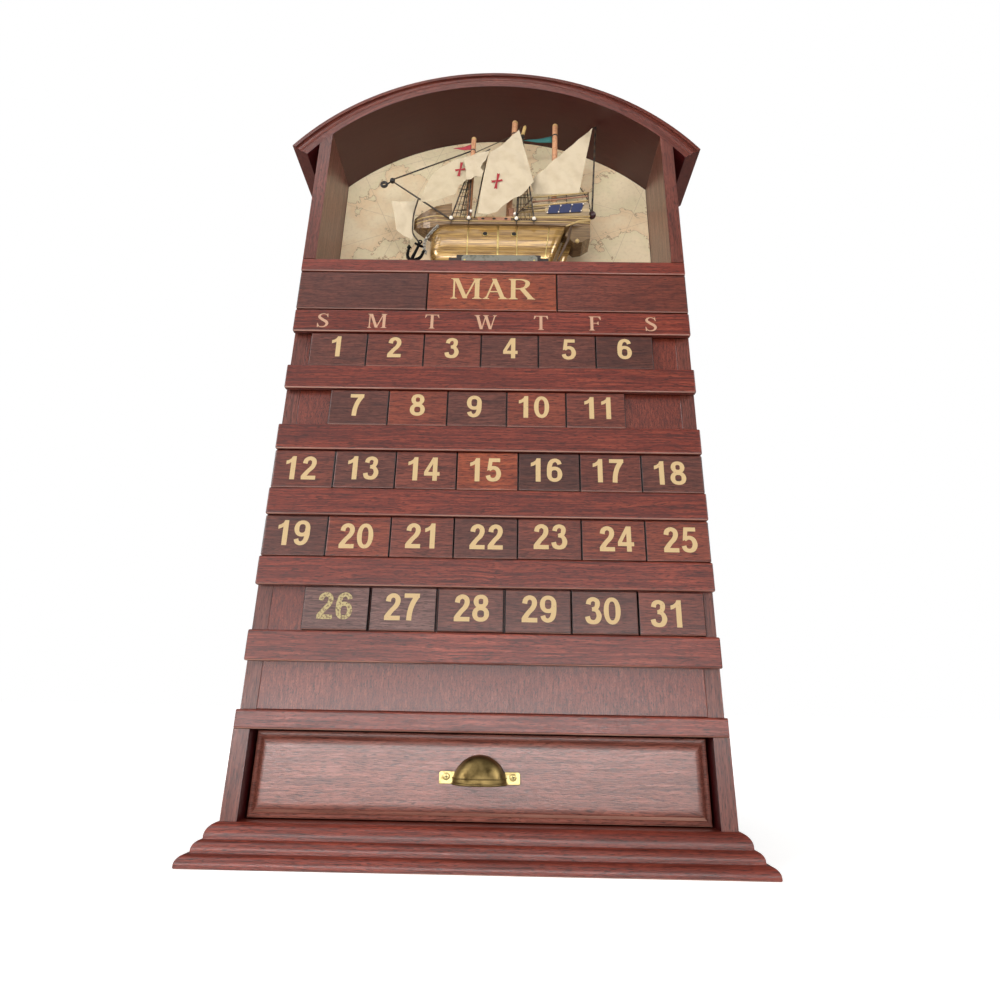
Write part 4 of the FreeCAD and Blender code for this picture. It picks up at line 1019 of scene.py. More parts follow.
@dataclass
class Calendar:
    """The tiles in their rows, with their gilt numbers, and the weekday rail's letters."""

    face: float = -17.35  # front of the date tiles, mm
    month_face: float = -18.55  # front of the month tile
    rail_face: float = -18.75  # front of the weekday rail
    floors: tuple[float, ...] = (259.3, 220.7, 182.1, 143.5, 104.9, 66.3)  # of the rows of tiles
    digit_height: float = 13.9  # mm
    digit_rise: float = 12.8  # middle of a number above its row's floor
    thick: float = 0.03  # of the foil, drawn thicker so that it shows
    letter_height: float = 9.9  # of a weekday's letter, mm
    letter_line: float = 289.9  # middle of the weekday letters
    letters: tuple[tuple[str, float], ...] = (("S", -102.1), ("M", -69.3), ("T", -35.9), ("W", -3.2),
                                              ("T", 30.1), ("F", 62.8), ("S", 96.5))
    letter_stretch: float = 1.24  # how much wider they are than drawn
    month_height: float = 15.0  # of the month's capitals
    month_stretch: float = 1.34
    month_line: float = 314.3  # middle of the month's capitals

    # Dates by stain; all others are dark.
    TONES = {Tone.ORANGE: (15,), Tone.RED: (8, 10, 20, 24, 25),
             Tone.BROWN: (11, 21, 2, 3, 12, 14, 17, 23, 31), Tone.DARKEST: (6, 16), Tone.GREYED: (26, 27)}
    FADED = ("26",)  # numbers whose foil has mostly rubbed off
    # How far each number was rubbed on beside the middle of its tile, across and up, in mm.
    NUDGES = {1: (-0.5, 0.6), 2: (-0.3, 0.5), 3: (-0.2, 0.4), 4: (0.3, 0.8), 5: (1.2, 0.4), 6: (0.1, 1.2),
              7: (-1.1, 0.2), 8: (0.0, 0.7), 9: (-1.4, 0.2), 10: (-1.7, 0.4), 11: (1.9, 0.3),
              12: (-1.5, -0.8), 13: (-1.1, -0.3), 14: (-1.6, -0.4), 15: (-1.3, -0.4), 16: (-1.7, 0.0),
              17: (-1.5, 0.1), 18: (-1.7, -0.7), 19: (-0.9, 0.2), 20: (-1.0, -1.0), 21: (0.3, -0.4),
              22: (0.5, -0.4), 23: (0.5, 0.2), 24: (1.5, -0.4), 25: (1.4, -0.4), 26: (-0.4, 0.0),
              27: (-0.4, 0.0), 28: (0.5, 0.0), 29: (0.6, 0.1), 30: (-1.0, -0.3), 31: (-1.9, -1.2)}

    def tiles(self) -> list[TileFace]:
        """Lists every tile with its stain and text.

        Returns:
            The tiles of the dates, and of the month's row.
        """
        tones = {number: tone for tone, numbers in self.TONES.items() for number in numbers}
        dates = [TileFace(f"date_tile_{n:02d}", tones.get(n, Tone.DARK), str(n)) for n in range(1, 32)]
        return dates + [TileFace("blank_tile_left", Tone.DARK), TileFace("month_tile", Tone.ORANGE, "MAR"),
                        TileFace("blank_tile_right", Tone.BROWN)]

    def build(self) -> None:
        """Dresses the tiles and adds the lettering."""
        for turn, tile in enumerate(self.tiles()):
            dress_node(tile.node, tile.tone.finish(turn), 0.4)
            low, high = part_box(tile.node)
            middle = (low[0] + high[0]) / 2 / MM
            if tile.text.isdigit():
                floor = max(f for f in self.floors if f < high[2] / MM)
                across, up = self.NUDGES[int(tile.text)]
                self.word(f"{tile.node}_number", tile.text, middle + across, floor + self.digit_rise + up,
                          self.digit_height, self.face, tile.node,
                          GILT_WORN if tile.text in self.FADED else GILT, 1.0)
            elif tile.text:
                self.word(f"{tile.node}_letters", tile.text, middle, self.month_line, self.month_height,
                          self.month_face, tile.node, GILT, self.month_stretch)
        for place, (letter, x) in enumerate(self.letters):
            self.word(f"weekday_{place + 1}", letter, x, self.letter_line, self.letter_height, self.rail_face,
                      "case", ROSE_GILT, self.letter_stretch)

    def word(self, name: str, text: str, x: float, z: float, height: float, face: float, body: str,
             finish: Finish, stretch: float) -> None:
        """Adds figures or capitals.

        Args:
            name: the piece's name.
            text: the characters.
            x: their middle across the case, in millimetres.
            z: height of their middle.
            height: height of a character.
            face: the surface that they lie on.
            body: the body that they ride on.
            finish: their foil.
            stretch: how much wider they are than drawn.
        """
        gather = Shape()
        glyphs = [Glyph(mark) for mark in text]
        wide = height * stretch
        start = x - sum(g.width for g in glyphs) * wide / 2
        for glyph in glyphs:
            for layer, (points, faces) in enumerate(glyph.strips):
                lift = face - self.thick - 0.003 * layer
                gather.add([(start + a * wide, lift, z + (b - 0.5) * height) for a, b in points], faces)
            start += glyph.width * wide
        gather.piece(name, finish, "stained_mahogany" if body == "case" else "tile_mahogany", body,
                     smooth=False)


# -------- drawer

@dataclass
class Drawer:
    """The drawer: its front, plain box, cup pull and screws."""

    field_face: float = -13.25  # front of the board's flat field, mm
    foot: float = 34.2  # height of the cup's open edge
    radius: float = 13.15  # of the cup, seen from the front
    reach: float = 9.5  # how far the cup stands out
    rim: float = 1.5  # straight part of the cup behind its curve
    wall: float = 0.9
    band: float = 3.0  # rolled band round the open edge
    ear_width: float = 39.0  # from tip to tip
    ear_height: float = 5.7
    ear_corner: float = 1.3
    screw_spacing: float = 32.0
    screw_height: float = 37.5
    screw_radius: float = 1.7
    squareness: float = 0.92  # power that squares the cup's curve a little
    steps: int = 20  # parts of the cup's skin round it
    rows: int = 14  # parts from its middle to its edge

    # The board's edge as an ogee: distance in from the edge, and depth behind the field.
    OGEE = ((0.0, 2.1), (0.35, 1.75), (1.4, 1.6), (2.4, 1.5), (3.0, 1.1), (3.7, 0.6), (4.6, 0.25),
            (5.6, 0.06), (6.6, 0.0), (8.0, 0.0))

    def build(self) -> None:
        """Dresses the drawer and adds the pull."""
        self.front()
        for node in ("drawer_left_side", "drawer_right_side", "drawer_back", "drawer_bottom"):
            dress_node(node, DRAWER_LINING, 0.3)
        self.pull()
        self.screws()

    def front(self) -> None:
        """Builds the drawer front, a board whose edge falls away from its field in an ogee."""
        low, high = (tuple(c / MM for c in corner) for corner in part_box("drawer_front"))
        board = Shape()
        loops = []
        for inset, drop in ((0.0, high[1] - self.field_face), *self.OGEE):
            x0, x1, z0, z1 = low[0] + inset, high[0] - inset, low[2] + inset, high[2] - inset
            loops.append([(x, self.field_face + drop, z) for x, z in ((x0, z0), (x0, z1), (x1, z1),
                                                                      (x1, z0))])
        board.rings(loops)
        made = board.piece("drawer_front_board", MAHOGANY_DRAWER_GLARE, "stained_mahogany", "drawer",
                           replaces=["drawer_front"])
        made.modifiers.new("level", "WEIGHTED_NORMAL").keep_sharp = True
        corners = made.data.vertices
        sharp = [abs(corners[a].co.y - corners[b].co.y) > 1e-7
                 for a, b in (edge.vertices for edge in made.data.edges)]
        made.data.attributes.new("sharp_edge", "BOOLEAN", "EDGE").data.foreach_set("value", sharp)

    def shell(self, inward: float) -> list[list[Vector]]:
        """Gives rings across the cup, from one end of its open edge over its top to the other.

        Args:
            inward: distance inside its outer face.

        Returns:
            A ring of points for each step.
        """
        rings = []
        reach = self.reach - self.rim - inward
        for i in range(self.steps + 1):
            turn = pi * i / self.steps
            ring = []
            for k in range(self.rows + 1):
                lean = pi / 2 * k / self.rows
                flat = (self.radius - inward) * sin(lean) ** self.squareness
                out = self.rim + reach * cos(lean) ** self.squareness
                ring.append(Vector((-cos(turn) * flat, self.field_face - out,
                                    self.foot + max(0.0, sin(turn)) * flat)))
            ring.append(Vector((ring[-1].x, self.field_face, ring[-1].z)))
            rings.append(ring)
        return rings

    def pull(self) -> None:
        """Builds the half-dome cup with its rolled lower band, and the two ears."""
        cup = Shape()
        outer, inner = self.shell(0.0), self.shell(self.wall)
        cup.rings([o + i[::-1] for o, i in zip(outer, inner)])
        edge = outer[0][-2::-1] + outer[-1][1:-1]
        face = self.field_face
        cup.rod([(p.x * 0.985, face + (p.y - face) * 0.985, self.foot + 0.45) for p in edge], 0.55, 10)
        crease = [(p.x * 0.99, face + (p.y - face) * 0.985, self.foot + self.band) for p in edge[1:-1]]
        cup.rod(crease, 0.3, 8)
        cup.piece("cup_pull_dome", BRASS_AGED, PULL_SLOT, "drawer", replaces=["cup_pull"])
        ears = Shape()
        for side in (-1, 1):
            tip, root = side * self.ear_width / 2, side * (self.radius - 1.2)
            c = self.ear_corner
            arc = [(tip - side * c * (1 - sin(a)), self.ear_height - c * (1 - cos(a)))
                   for a in (pi / 2 * k / 5 for k in range(6))]
            outline = [(root, 0.0), (root, self.ear_height), *arc, (tip, 0.0)]
            outline = [(x, self.foot + z) for x, z in outline]
            ears.slab(outline[::side], face - self.wall, face - 0.02)
        made = ears.piece("cup_pull_ears", BRASS_BRIGHT, PULL_SLOT, "drawer", smooth=False)
        bevel = made.modifiers.new("edge", "BEVEL")
        bevel.width, bevel.segments = 0.25 * MM, 2

    def screws(self) -> None:
        """Builds two low screw heads with cross recesses."""
        heads, recess = Shape(), Shape()
        face = self.field_face - self.wall
        full = self.screw_radius
        for side in (-1, 1):
            x = side * self.screw_spacing / 2
            profile = ((full, -0.05), (full, 0.12), (full * 0.8, 0.28), (full * 0.4, 0.36), (0.05, 0.38))
            heads.rings([hoop((x, face - rise, self.screw_height), (r, 0, 0), (0, 0, r), 20)[:-1]
                         for r, rise in profile])
            for turn in (0.15, 0.15 + pi / 2):
                across = Vector((cos(turn), 0, sin(turn))) * 0.85
                up = Vector((-sin(turn), 0, cos(turn))) * 0.17
                middle = Vector((x, face - 0.4, self.screw_height))
                corners = [middle - across - up, middle + across - up, middle + across + up,
                           middle - across + up]
                recess.rings([[c + Vector((0, 0.3, 0)) for c in corners], corners])
        heads.piece("pull_screw_heads", BRASS_BRIGHT, PULL_SLOT, "drawer", replaces=["pull_screws"])
        # The cross recesses are dark blocks: painted shade.
        recess.piece("pull_screw_recesses", SHADOWED, PULL_SLOT, "drawer", smooth=False)


# -------- model ship

@dataclass(frozen=True)
class Mast:
    """A mast, and the yard that hangs on it; a share is of the rig's height above the deck."""

    head: float  # place of its head along the ship, mm
    rake: float  # how far forward of its head its foot stands, mm
    drop: float  # how much lower it is than the main mast, mm
    pole: float  # its thickness, mm
    lean: float  # how far its sail's foot stands out to the front, degrees
    hoist: float  # share at which the yard touches it
    yard: tuple[tuple[float, float], tuple[float, float]]  # its ends: place from the head, and share


MASTS = {"fore": Mast(-16.6, 1.4, 15.8, 3.4, 8.5, 0.607, ((-26.0, 0.366), (11.9, 0.722))),
         "main": Mast(13.0, 4.0, 0.0, 4.0, 6.5, 0.842, ((-13.0, 0.56), (4.4, 0.936))),
         "mizzen": Mast(42.2, 2.0, 2.6, 3.8, 0.0, 0.67, ((-19.0, 0.366), (28.0, 0.926)))}


@dataclass
class Ship:
    """The model ship: hull, castles, masts, spars, sails, rigging, anchor and stand."""

    line: float = 0.25  # the ship's middle, through the case, mm
    half_beam: float = 10.0
    keel: float = 342.0  # height in the case, as are the next two
    belly_top: float = 366.0
    deck: float = 378.8
    stem: float = -55.5  # place of the bow's point
    transom: float = 64.0  # place of the stern
    rig: float = 95.6  # main mast above the deck
    yard: float = 1.2  # thickness of a yard
    gap: float = 0.2  # between a yard and its mast
    widest: float = 0.31  # share of the hull's height at which it is widest
    tumble: float = 1.26  # the oval above it, which the deck cuts off, as a share of the height left
    slant_over: float = 34.0  # height over which a ring's slant is given
    billow: float = 1.1  # how far a sail stands out in its middle
    crease: float = 1.9  # how far in its folds
    cockle: float = 0.3  # how far all over
    bead: float = 1.3  # radius of a dead-eye; the sizes that follow are radii too
    fairlead: float = 1.15
    knot: float = 0.8
    shroud: float = 0.52
    far_shroud: float = 0.5
    lanyard: float = 0.3
    ratline: float = 0.24
    net_upright: float = 0.26
    stay: float = 0.5
    mast_stay: float = 0.3
    sheet: float = 0.62
    clew_line: float = 0.4
    halyard: float = 0.4
    anchor_rope: float = 0.55

    # Outlines of the sails: place from the mast's head in mm, and share of the rig's height.
    SAILS = {"fore": ((-22.3, 0.476), (-14.3, 0.552), (-5.8, 0.598), (3.0, 0.62), (10.9, 0.642), (9.3, 0.53),
                      (8.0, 0.42), (4.6, 0.385), (-3.1, 0.347), (-8.3, 0.273), (-10.0, 0.19), (-20.7, 0.135),
                      (-33.6, 0.107), (-31.0, 0.27), (-27.0, 0.4)),
             "main": ((-17.0, 0.612), (-7.0, 0.729), (2.9, 0.88), (6.5, 0.68), (9.6, 0.5), (13.2, 0.305),
                      (10.6, 0.26), (5.3, 0.17), (-2.8, 0.11), (-8.6, 0.05), (-11.4, 0.0), (-17.0, -0.02),
                      (-24.0, 0.0), (-22.6, 0.18), (-21.0, 0.366), (-19.2, 0.487)),
             "mizzen": ((26.4, 0.9), (21.0, 0.6), (15.4, 0.268), (-1.0, 0.262), (-15.4, 0.262),
                        (-18.2, 0.375), (-8.0, 0.495), (2.6, 0.62))}
    SPRITSAIL = ((-16.0, 0.2), (-6.6, 0.185), (2.6, 0.2), (1.2, 0.02), (0.9, -0.146), (-4.6, -0.12),
                 (-10.4, -0.07), (-13.0, 0.08))
    TORN = ((-5.8, 0.542), (1.8, 0.605), (11.3, 0.645), (10.4, 0.58), (9.6, 0.525), (7.4, 0.49), (6.2, 0.44),
            (8.4, 0.4), (7.0, 0.35), (3.0, 0.36), (0.0, 0.335), (-3.2, 0.337), (-4.0, 0.429))
    CROSSES = {"fore": (-8.0, 0.445, 14.0), "main": (-11.8, 0.3, 15.0)}  # place, share, and height in mm
    # Each shroud: its mast, and the place of its dead-eye from the mast's head, mm.
    DEAD_EYES = (("fore", -12.1), ("fore", -0.4), ("main", 1.6), ("main", 13.3))
    SHROUD_TOPS = {"fore": (-17.2, -2.0, 434.3), "main": (18.2, -1.0, 459.9)}
    # Points of the anchor: behind the stem, and above the deck.
    ANCHOR = {"eye": (18.5, -9.0), "ring": (7.3, -23.4), "crown": (2.3, -37.5), "fluke": (0.6, -26.5),
              "far_fluke": (10.3, -29.8)}

    def on_mast(self, mast: str, rise: float) -> Vector:
        """Gives the point of a mast's centre line at a height above the deck."""
        tall = self.rig - MASTS[mast].drop
        return Vector((MASTS[mast].head - MASTS[mast].rake * (1 - rise / tall), self.line, self.deck + rise))

    def hung(self, mast: str, along: float, share: float, beyond: float = 0.0) -> Vector:
        """Gives a point in the leaning plane of a mast's yard and sail.

        Args:
            mast: which mast.
            along: place along the ship from the mast's head.
            share: height as a share of the rig's.
            beyond: distance in front of the yard.

        Returns:
            The point.
        """
        out = (MASTS[mast].pole + self.yard) / 2 + self.gap + beyond
        out += (MASTS[mast].hoist - share) * self.rig * tan(radians(MASTS[mast].lean))
        return Vector((MASTS[mast].head + along, self.line - out, self.deck + share * self.rig))

    def dead_eye(self, mast: str, along: float) -> Vector:
        """Gives the middle of a dead-eye on the near side."""
        return Vector((MASTS[mast].head + along, self.line - self.half_beam - 1.3, self.deck - 2.6))

    def mirrored(self, point: Sequence[float]) -> Vector:
        """Gives a point's image on the ship's other side."""
        return Vector((point[0], 2 * self.line - point[1], point[2]))

    def both_sides(self, shape: Shape, path: Path, radius: float, sides: int) -> None:
        """Adds a rod on the near side, and its image on the far side."""
        shape.rod(path, radius, sides)
        shape.rod([self.mirrored(p) for p in path], radius, sides)

    def sprit(self) -> tuple[Vector, Vector]:
        """Gives the bowsprit's foot and tip."""
        foot = self.dead_eye(*self.DEAD_EYES[0]) - Vector((2.1, 0, 0))
        return foot, Vector((self.stem - 17.6, self.line, self.deck + 0.418 * self.rig))

    def build(self) -> None:
        """Dresses the card behind the ship, and builds every part of the ship."""
        dress_node("chart_card", CHART)
        for part in (self.belly, self.strakes, self.castles, self.masts, self.spars, self.sails, self.rigging,
                     self.anchor, self.stand):
            part()

    def section(self, x: float, half: float, low: float, high: float, slant: float = 0.0) -> list[Vector]:
        """Gives a ring round the hull.

        Args:
            x: its place.
            half: half its width.
            low: its bottom.
            high: its top.
            slant: how far its top leans aft.

        Returns:
            The ring's points.
        """
        ring = []
        widest = low + (high - low) * self.widest
        top, bottom = self.tumble * (high - widest), widest - low
        for k in range(-12, 15):
            rise = sin(pi / 2 * k / 12) * bottom if k < 0 else (high - widest) * k / 14
            wide = half * sqrt(max(0.0, 1 - (rise / (bottom if k < 0 else top)) ** 2))
            z = widest + rise
            ring.append(Vector((x + slant * (z - (low + high) / 2) / self.slant_over, self.line - wide, z)))
        return ring + [self.mirrored(p) for p in ring[:0:-1]]

    def belly(self) -> None:
        """Builds the round lower hull with its rudder, straps, stern post and ports."""
        front, back, middle, top = -43.0, 42.0, 357.5, 375.5
        nose = ((0.0, 0.06), (0.2, 0.3), (0.8, 0.5), (1.8, 0.66), (3.4, 0.8), (5.6, 0.9), (8.4, 0.965),
                (12.0, 1.0))
        rings = [self.section(front + reach, self.half_beam * size, middle - 15.5 * size,
                              middle + 18.0 * size) for reach, size in nose]
        rings += [self.section(x, self.half_beam, self.keel, top) for x in range(-26, 31, 6)]
        rings += [self.section(x, self.half_beam - narrow, self.keel, top, slant)
                  for x, narrow, slant in ((34.0, 0.0, 4.0), (38.0, 0.0, 8.0), (back, 0.4, 12.0))]
        hull = Shape()
        hull.rings(rings)
        rudder = [(39.0, self.keel), (43.0, self.keel), (48.5, 353.0), (53.0, self.belly_top),
                  (46.0, self.belly_top)]
        hull.slab(rudder, self.line - 1.25, self.line + 1.25)
        hull.piece("ship_belly", HULL_WOOD, replaces=["ship_hull"])
        straps = Shape()
        for x, wide, slant in ((-17.3, 0.7, 0.0), (2.6, 1.1, 0.0), (15.1, 0.6, 0.0), (35.0, 0.6, 4.0)):
            flat = [self.section(x + side, self.half_beam + 0.16, self.keel - 0.1, top + 0.1, slant)
                    for side in (-wide / 2, wide / 2)]
            straps.rings([ring[:len(ring) // 2] for ring in flat], close=False, cap=False)
        straps.piece("ship_straps", STRAP)
        post = Shape()
        near = self.line - 9.9
        post.rod([(41.6, near + 0.3, self.keel + 1), (44.5, near, 350.0), (48.5, near, 360.0),
                  (51.0, near, 371.5)], (0.5, 0.8, 0.9, 0.8), 8)
        post.piece("ship_stern_post", RAIL_DARK)
        ports, rims = Shape(), Shape()
        side = self.line - self.half_beam
        for x, z in ((-5.9, 365.1), (13.2, 365.0)):
            ports.ball((x, side + 0.85, z), 1.7, (1, 0.45, 1), 8)
            rims.rod(hoop((x, side + 0.75, z), (1.75, 0, 0), (0, 0.3, 1.75), 16), 0.2, 6)
        # The ports are dark: painted shade in the holes.
        ports.piece("ship_ports", SHADOWED)
        rims.piece("ship_port_rims", STRAP)

    def strakes(self) -> None:
        """Builds the upper hull with its pointed bow, wales, gun slots and stern corbel."""
        upper, wales = Shape(), Shape()
        stations = ((-55.5, 0.7, 377.0, 383.0), (-52.5, 3.2, 375.0, 382.2), (-48.0, 6.2, 372.8, 381.2),
                    (-43.0, 8.6, 371.0, 380.2), (-38.0, 10.0, 372.2, 379.4), (-30.0, 10.0, 373.6, 378.8),
                    (0.0, 10.0, 373.8, 378.8), (25.0, 10.0, 373.8, 378.8), (46.0, 10.0, 373.0, 378.8),
                    (56.0, 9.0, 373.4, 379.2), (64.0, 7.5, 375.0, 380.0))
        rings = []
        for x, half, low, high in stations:
            levels = ((1, high), (1, high - 1.2), (0.96, (low + high) / 2), (0.82, low + 0.5), (0.6, low))
            side = [(x, self.line - half * share, z) for share, z in levels]
            rings.append(side + [self.mirrored(p) for p in side[::-1]])
        upper.rings(rings)
        upper.piece("ship_strakes", UPPER_WOOD, smooth=False)
        for rise, radius, share in ((-3.4, 0.4, 0.95), (-0.6, 0.45, 1.0)):
            path = [(x, self.line - half * share, max(low + 1.0, high + rise))
                    for x, half, low, high in stations]
            self.both_sides(wales, path, radius, 6)
        wales.piece("ship_wales", RAIL_GOLD)
        near = self.line - self.half_beam - 0.1
        pads, slots = Shape(), Shape()
        pads.block((-11.0, near - 0.25, 375.6), (11.0, near + 0.4, 378.2), 0.25)
        for x in (-7.6, -0.2, 7.7):
            slots.ball((x, near - 0.25, 376.7), 0.95, (1.25, 0.25, 0.85), 6)
        for k in range(8):
            slots.ball((13.0 + 1.7 * k, near, 376.6), 0.42, (1, 0.4, 1), 5)
        pads.piece("ship_gun_plank", RAIL_PINK, smooth=False)
        # The gun slots are dark: painted shade.
        slots.piece("ship_gun_slots", SHADOWED)
        corbel, moulding = Shape(), Shape()
        side = [(47.0, 367.0), (50.0, 372.5), (64.0, 375.4), (63.8, 365.4), (58.5, 361.5), (53.2, 360.4)]
        corbel.slab(side, self.line - 6.8, self.line + 6.8)
        corbel.piece("ship_corbel", DECK_WOOD, smooth=False)
        moulding.ball((55.0, self.line - 7.4, 361.6), 1.5)
        moulding.rod([(47.6, self.line - 9.4, 371.8), (56.0, self.line - 8.9, 376.4),
                      (64.0, self.line - 7.5, 378.4)], (0.5, 0.7, 0.7), 8)
        moulding.piece("ship_quarter_moulding", RAIL_GOLD)

    def castles(self) -> None:
        """Builds the forecastle, the sterncastle with its rails, panel and beads, and the stern's knob."""
        fore, stern = Shape(), Shape()
        rings = []
        for x, half, high in ((-54.8, 0.9, 384.4), (-50.0, 4.2, 386.0), (-44.0, 6.4, 387.8),
                              (-39.6, 7.7, 389.2), (-29.0, 7.9, 391.8)):
            inside, sunk = half - 0.7 * min(1, half), high - 3.5
            corners = ((inside, sunk), (inside, high), (half, high), (half, 378.0))
            side = [(x, self.line - y, z) for y, z in corners]
            rings.append(side[2:] + [self.mirrored(p) for p in side[::-1]] + side[:2])
        fore.rings(rings)
        fore.piece("ship_forecastle", UPPER_WOOD, smooth=False, replaces=["ship_castles"])
        near, far = self.line - 5.5, self.line + 5.5
        stern.slab([(13.5, 378.4), (64.0, 378.4), (64.0, 397.8), (24.5, 394.8), (19.0, 389.0), (13.5, 382.8)],
                   near, far)
        stern.piece("ship_sterncastle", CASTLE_WOOD, smooth=False)
        rails = {RAIL_GOLD: ((15.0, 382.6, 64.3, 383.9, 0.55), (21.0, 391.2, 64.0, 397.6, 0.5),
                             (26.0, 399.6, 64.2, 404.4, 0.5), (14.0, 386.4, 34.0, 388.6, 0.4)),
                 RAIL_PINK: ((14.0, 379.4, 64.0, 380.6, 0.5), (24.5, 395.6, 64.0, 401.2, 0.5)),
                 RAIL_DARK: ((18.5, 388.9, 34.0, 390.6, 0.35), (14.0, 383.2, 26.0, 400.0, 0.5),
                             (37.0, 392.0, 36.6, 400.6, 0.4), (49.0, 394.0, 48.7, 402.0, 0.4),
                             (63.6, 396.0, 63.6, 404.6, 0.5), (36.0, 398.2, 63.8, 402.8, 0.3))}
        for number, (finish, lines) in enumerate(rails.items()):
            group = Shape()
            for x0, z0, x1, z1, radius in lines:
                for y in (near - 0.1, far + 0.1):
                    group.rod([(x0, y, z0), ((x0 + x1) / 2, y, (z0 + z1) / 2), (x1, y, z1)], radius, 6)
            group.piece(f"ship_castle_rails_{number + 1}", finish)
        corners = ((35.4, 385.7), (58.3, 387.4), (37.4, 392.7), (60.4, 395.1))
        foot, foot_end, top, top_end = (Vector(corner) for corner in corners)
        fields, beads = Shape(), Shape()
        for a, b in ((0.0, 0.32), (0.34, 0.66), (0.68, 1.0)):
            fields.slab([foot.lerp(foot_end, a), foot.lerp(foot_end, b), top.lerp(top_end, b),
                         top.lerp(top_end, a)], near - 0.5, near + 0.2)
        fields.piece("ship_navy_panel", NAVY, smooth=False)
        for t in (0.0, 0.33, 0.67, 1.0):
            for s in (0.1, 0.85):
                at = foot.lerp(foot_end, t).lerp(top.lerp(top_end, t), s)
                beads.ball((at.x, near - 0.6, at.y), 0.55, steps=6)
        beads.piece("ship_panel_beads", PEARL)
        bitts, knob = Shape(), Shape()
        bitts.block((9.4, self.line - 7.4, 378.6), (12.6, self.line - 4.6, 387.4), 0.3)
        bitts.block((8.9, self.line - 7.8, 387.2), (13.1, self.line - 4.2, 388.4), 0.2)
        bitts.block((9.4, self.line + 4.6, 378.6), (12.6, self.line + 7.4, 387.4))
        bitts.piece("ship_bitts", RAIL_PINK, smooth=False)
        knob.ball(self.knob(), 2.75)
        knob.rod([self.knob(), self.knob() + Vector((2.3, 0, -0.6))], (1.3, 0.9), 8)
        knob.piece("ship_stern_knob", KNOB)

    def knob(self) -> Vector:
        """Gives the middle of the knob behind the stern."""
        return Vector((self.transom + 2.6, self.line, self.deck + 11.5))

    def masts(self) -> None:
        """Dresses the masts, and adds their bands, heads and pennants."""
        dress_node("ship_masts", DOWEL)
        bands, heads = Shape(), Shape()
        for mast, rises in (("fore", (68.0,)), ("main", (78.0, 81.0, 83.5)), ("mizzen", (82.5,))):
            for rise in rises:
                at, half = self.on_mast(mast, rise), Vector((0, 0, 0.5))
                bands.rod([at - half, at + half], MASTS[mast].pole / 2 + 0.25, 14)
        for mast, rise in (("fore", 79.8), ("main", 95.6), ("mizzen", 93.0)):
            radius = MASTS[mast].pole / 2
            heads.rod([self.on_mast(mast, rise) - Vector((0, 0, down)) for down in (1.6, 0.4, 0.05)],
                      (radius + 0.06, radius + 0.06, radius - 0.4), 14)
        bands.piece("ship_mast_bands", RING, "mast_dowel")
        heads.rod([(18.6, -0.6, 462.0), (20.1, 0.0, 469.6), (20.3, 0.25, 470.8)], (1.25, 1.25, 0.9), 12)
        heads.piece("ship_mast_heads", DOWEL_PALE, "mast_dowel")
        steps = 12
        for name, finish, mast, rise, reach, drop in (("red", RED_PAPER, "fore", 72.0, 12.5, 5.0),
                                                      ("green", GREEN_PAPER, "mizzen", 80.0, 22.0, 6.0)):
            root = self.on_mast(mast, rise) - Vector((MASTS[mast].pole / 2, 0, 0))
            flag = Shape()
            rows = []
            for t in (k / steps for k in range(steps + 1)):
                wave, half = sin(t * 5.5) * 0.9 * t, drop / 2 * (1 - t)
                rows.append([(root.x - reach * t, root.y + side + wave, root.z + edge - 2.5 * t)
                             for side, edge in ((-0.1, half), (0.1, half), (0.1, -half - 0.1),
                                                (-0.1, -half - 0.1))])
            flag.rings(rows)
            flag.piece(f"ship_pennant_{name}", finish, "sailcloth")

    def spars(self) -> None:
        """Builds tapered yards with lashings, and the bowsprit with its ring and knob."""
        spars, ties, end = Shape(), Shape(), Shape()
        for mast in MASTS:
            a, b = (self.hung(mast, *tip) for tip in MASTS[mast].yard)
            spars.rod([a.lerp(b, t) for t in (0.0, 0.25, 0.5, 0.75, 1.0)], (0.38, 0.55, 0.62, 0.55, 0.38), 10)
            share = (self.on_mast(mast, 0.0).x + 1.0 - a.x) / (b.x - a.x)
            middle = a.lerp(b, max(0.15, min(0.85, share)))
            along = (b - a).normalized()
            for k in range(-2, 3):
                ties.rod([middle + along * (k * 0.55 - 0.2), middle + along * (k * 0.55 + 0.2)], 0.82, 10)
        foot, tip = self.sprit()
        spars.rod([foot.lerp(tip, t) for t in (0.0, 0.3, 0.65, 1.0)], (0.6, 0.6, 0.55, 0.45), 10)
        spars.piece("ship_spars", SPAR, CORD_SLOT, replaces=["ship_yards"])
        ties.piece("ship_lashings", CORD, CORD_SLOT)
        ring = hoop(tip - Vector((5.3, 0, 3.2)), (1.9, 0, 0), (0, 0, 1.9), 18)
        end.rod(ring, 0.95, 8)
        end.rod([ring[0], tip], 0.5, 8)
        end.ball(tip + Vector((0.3, 0, 0.2)), 1.9, steps=8)
        end.piece("ship_sprit_ring", RING, CORD_SLOT)

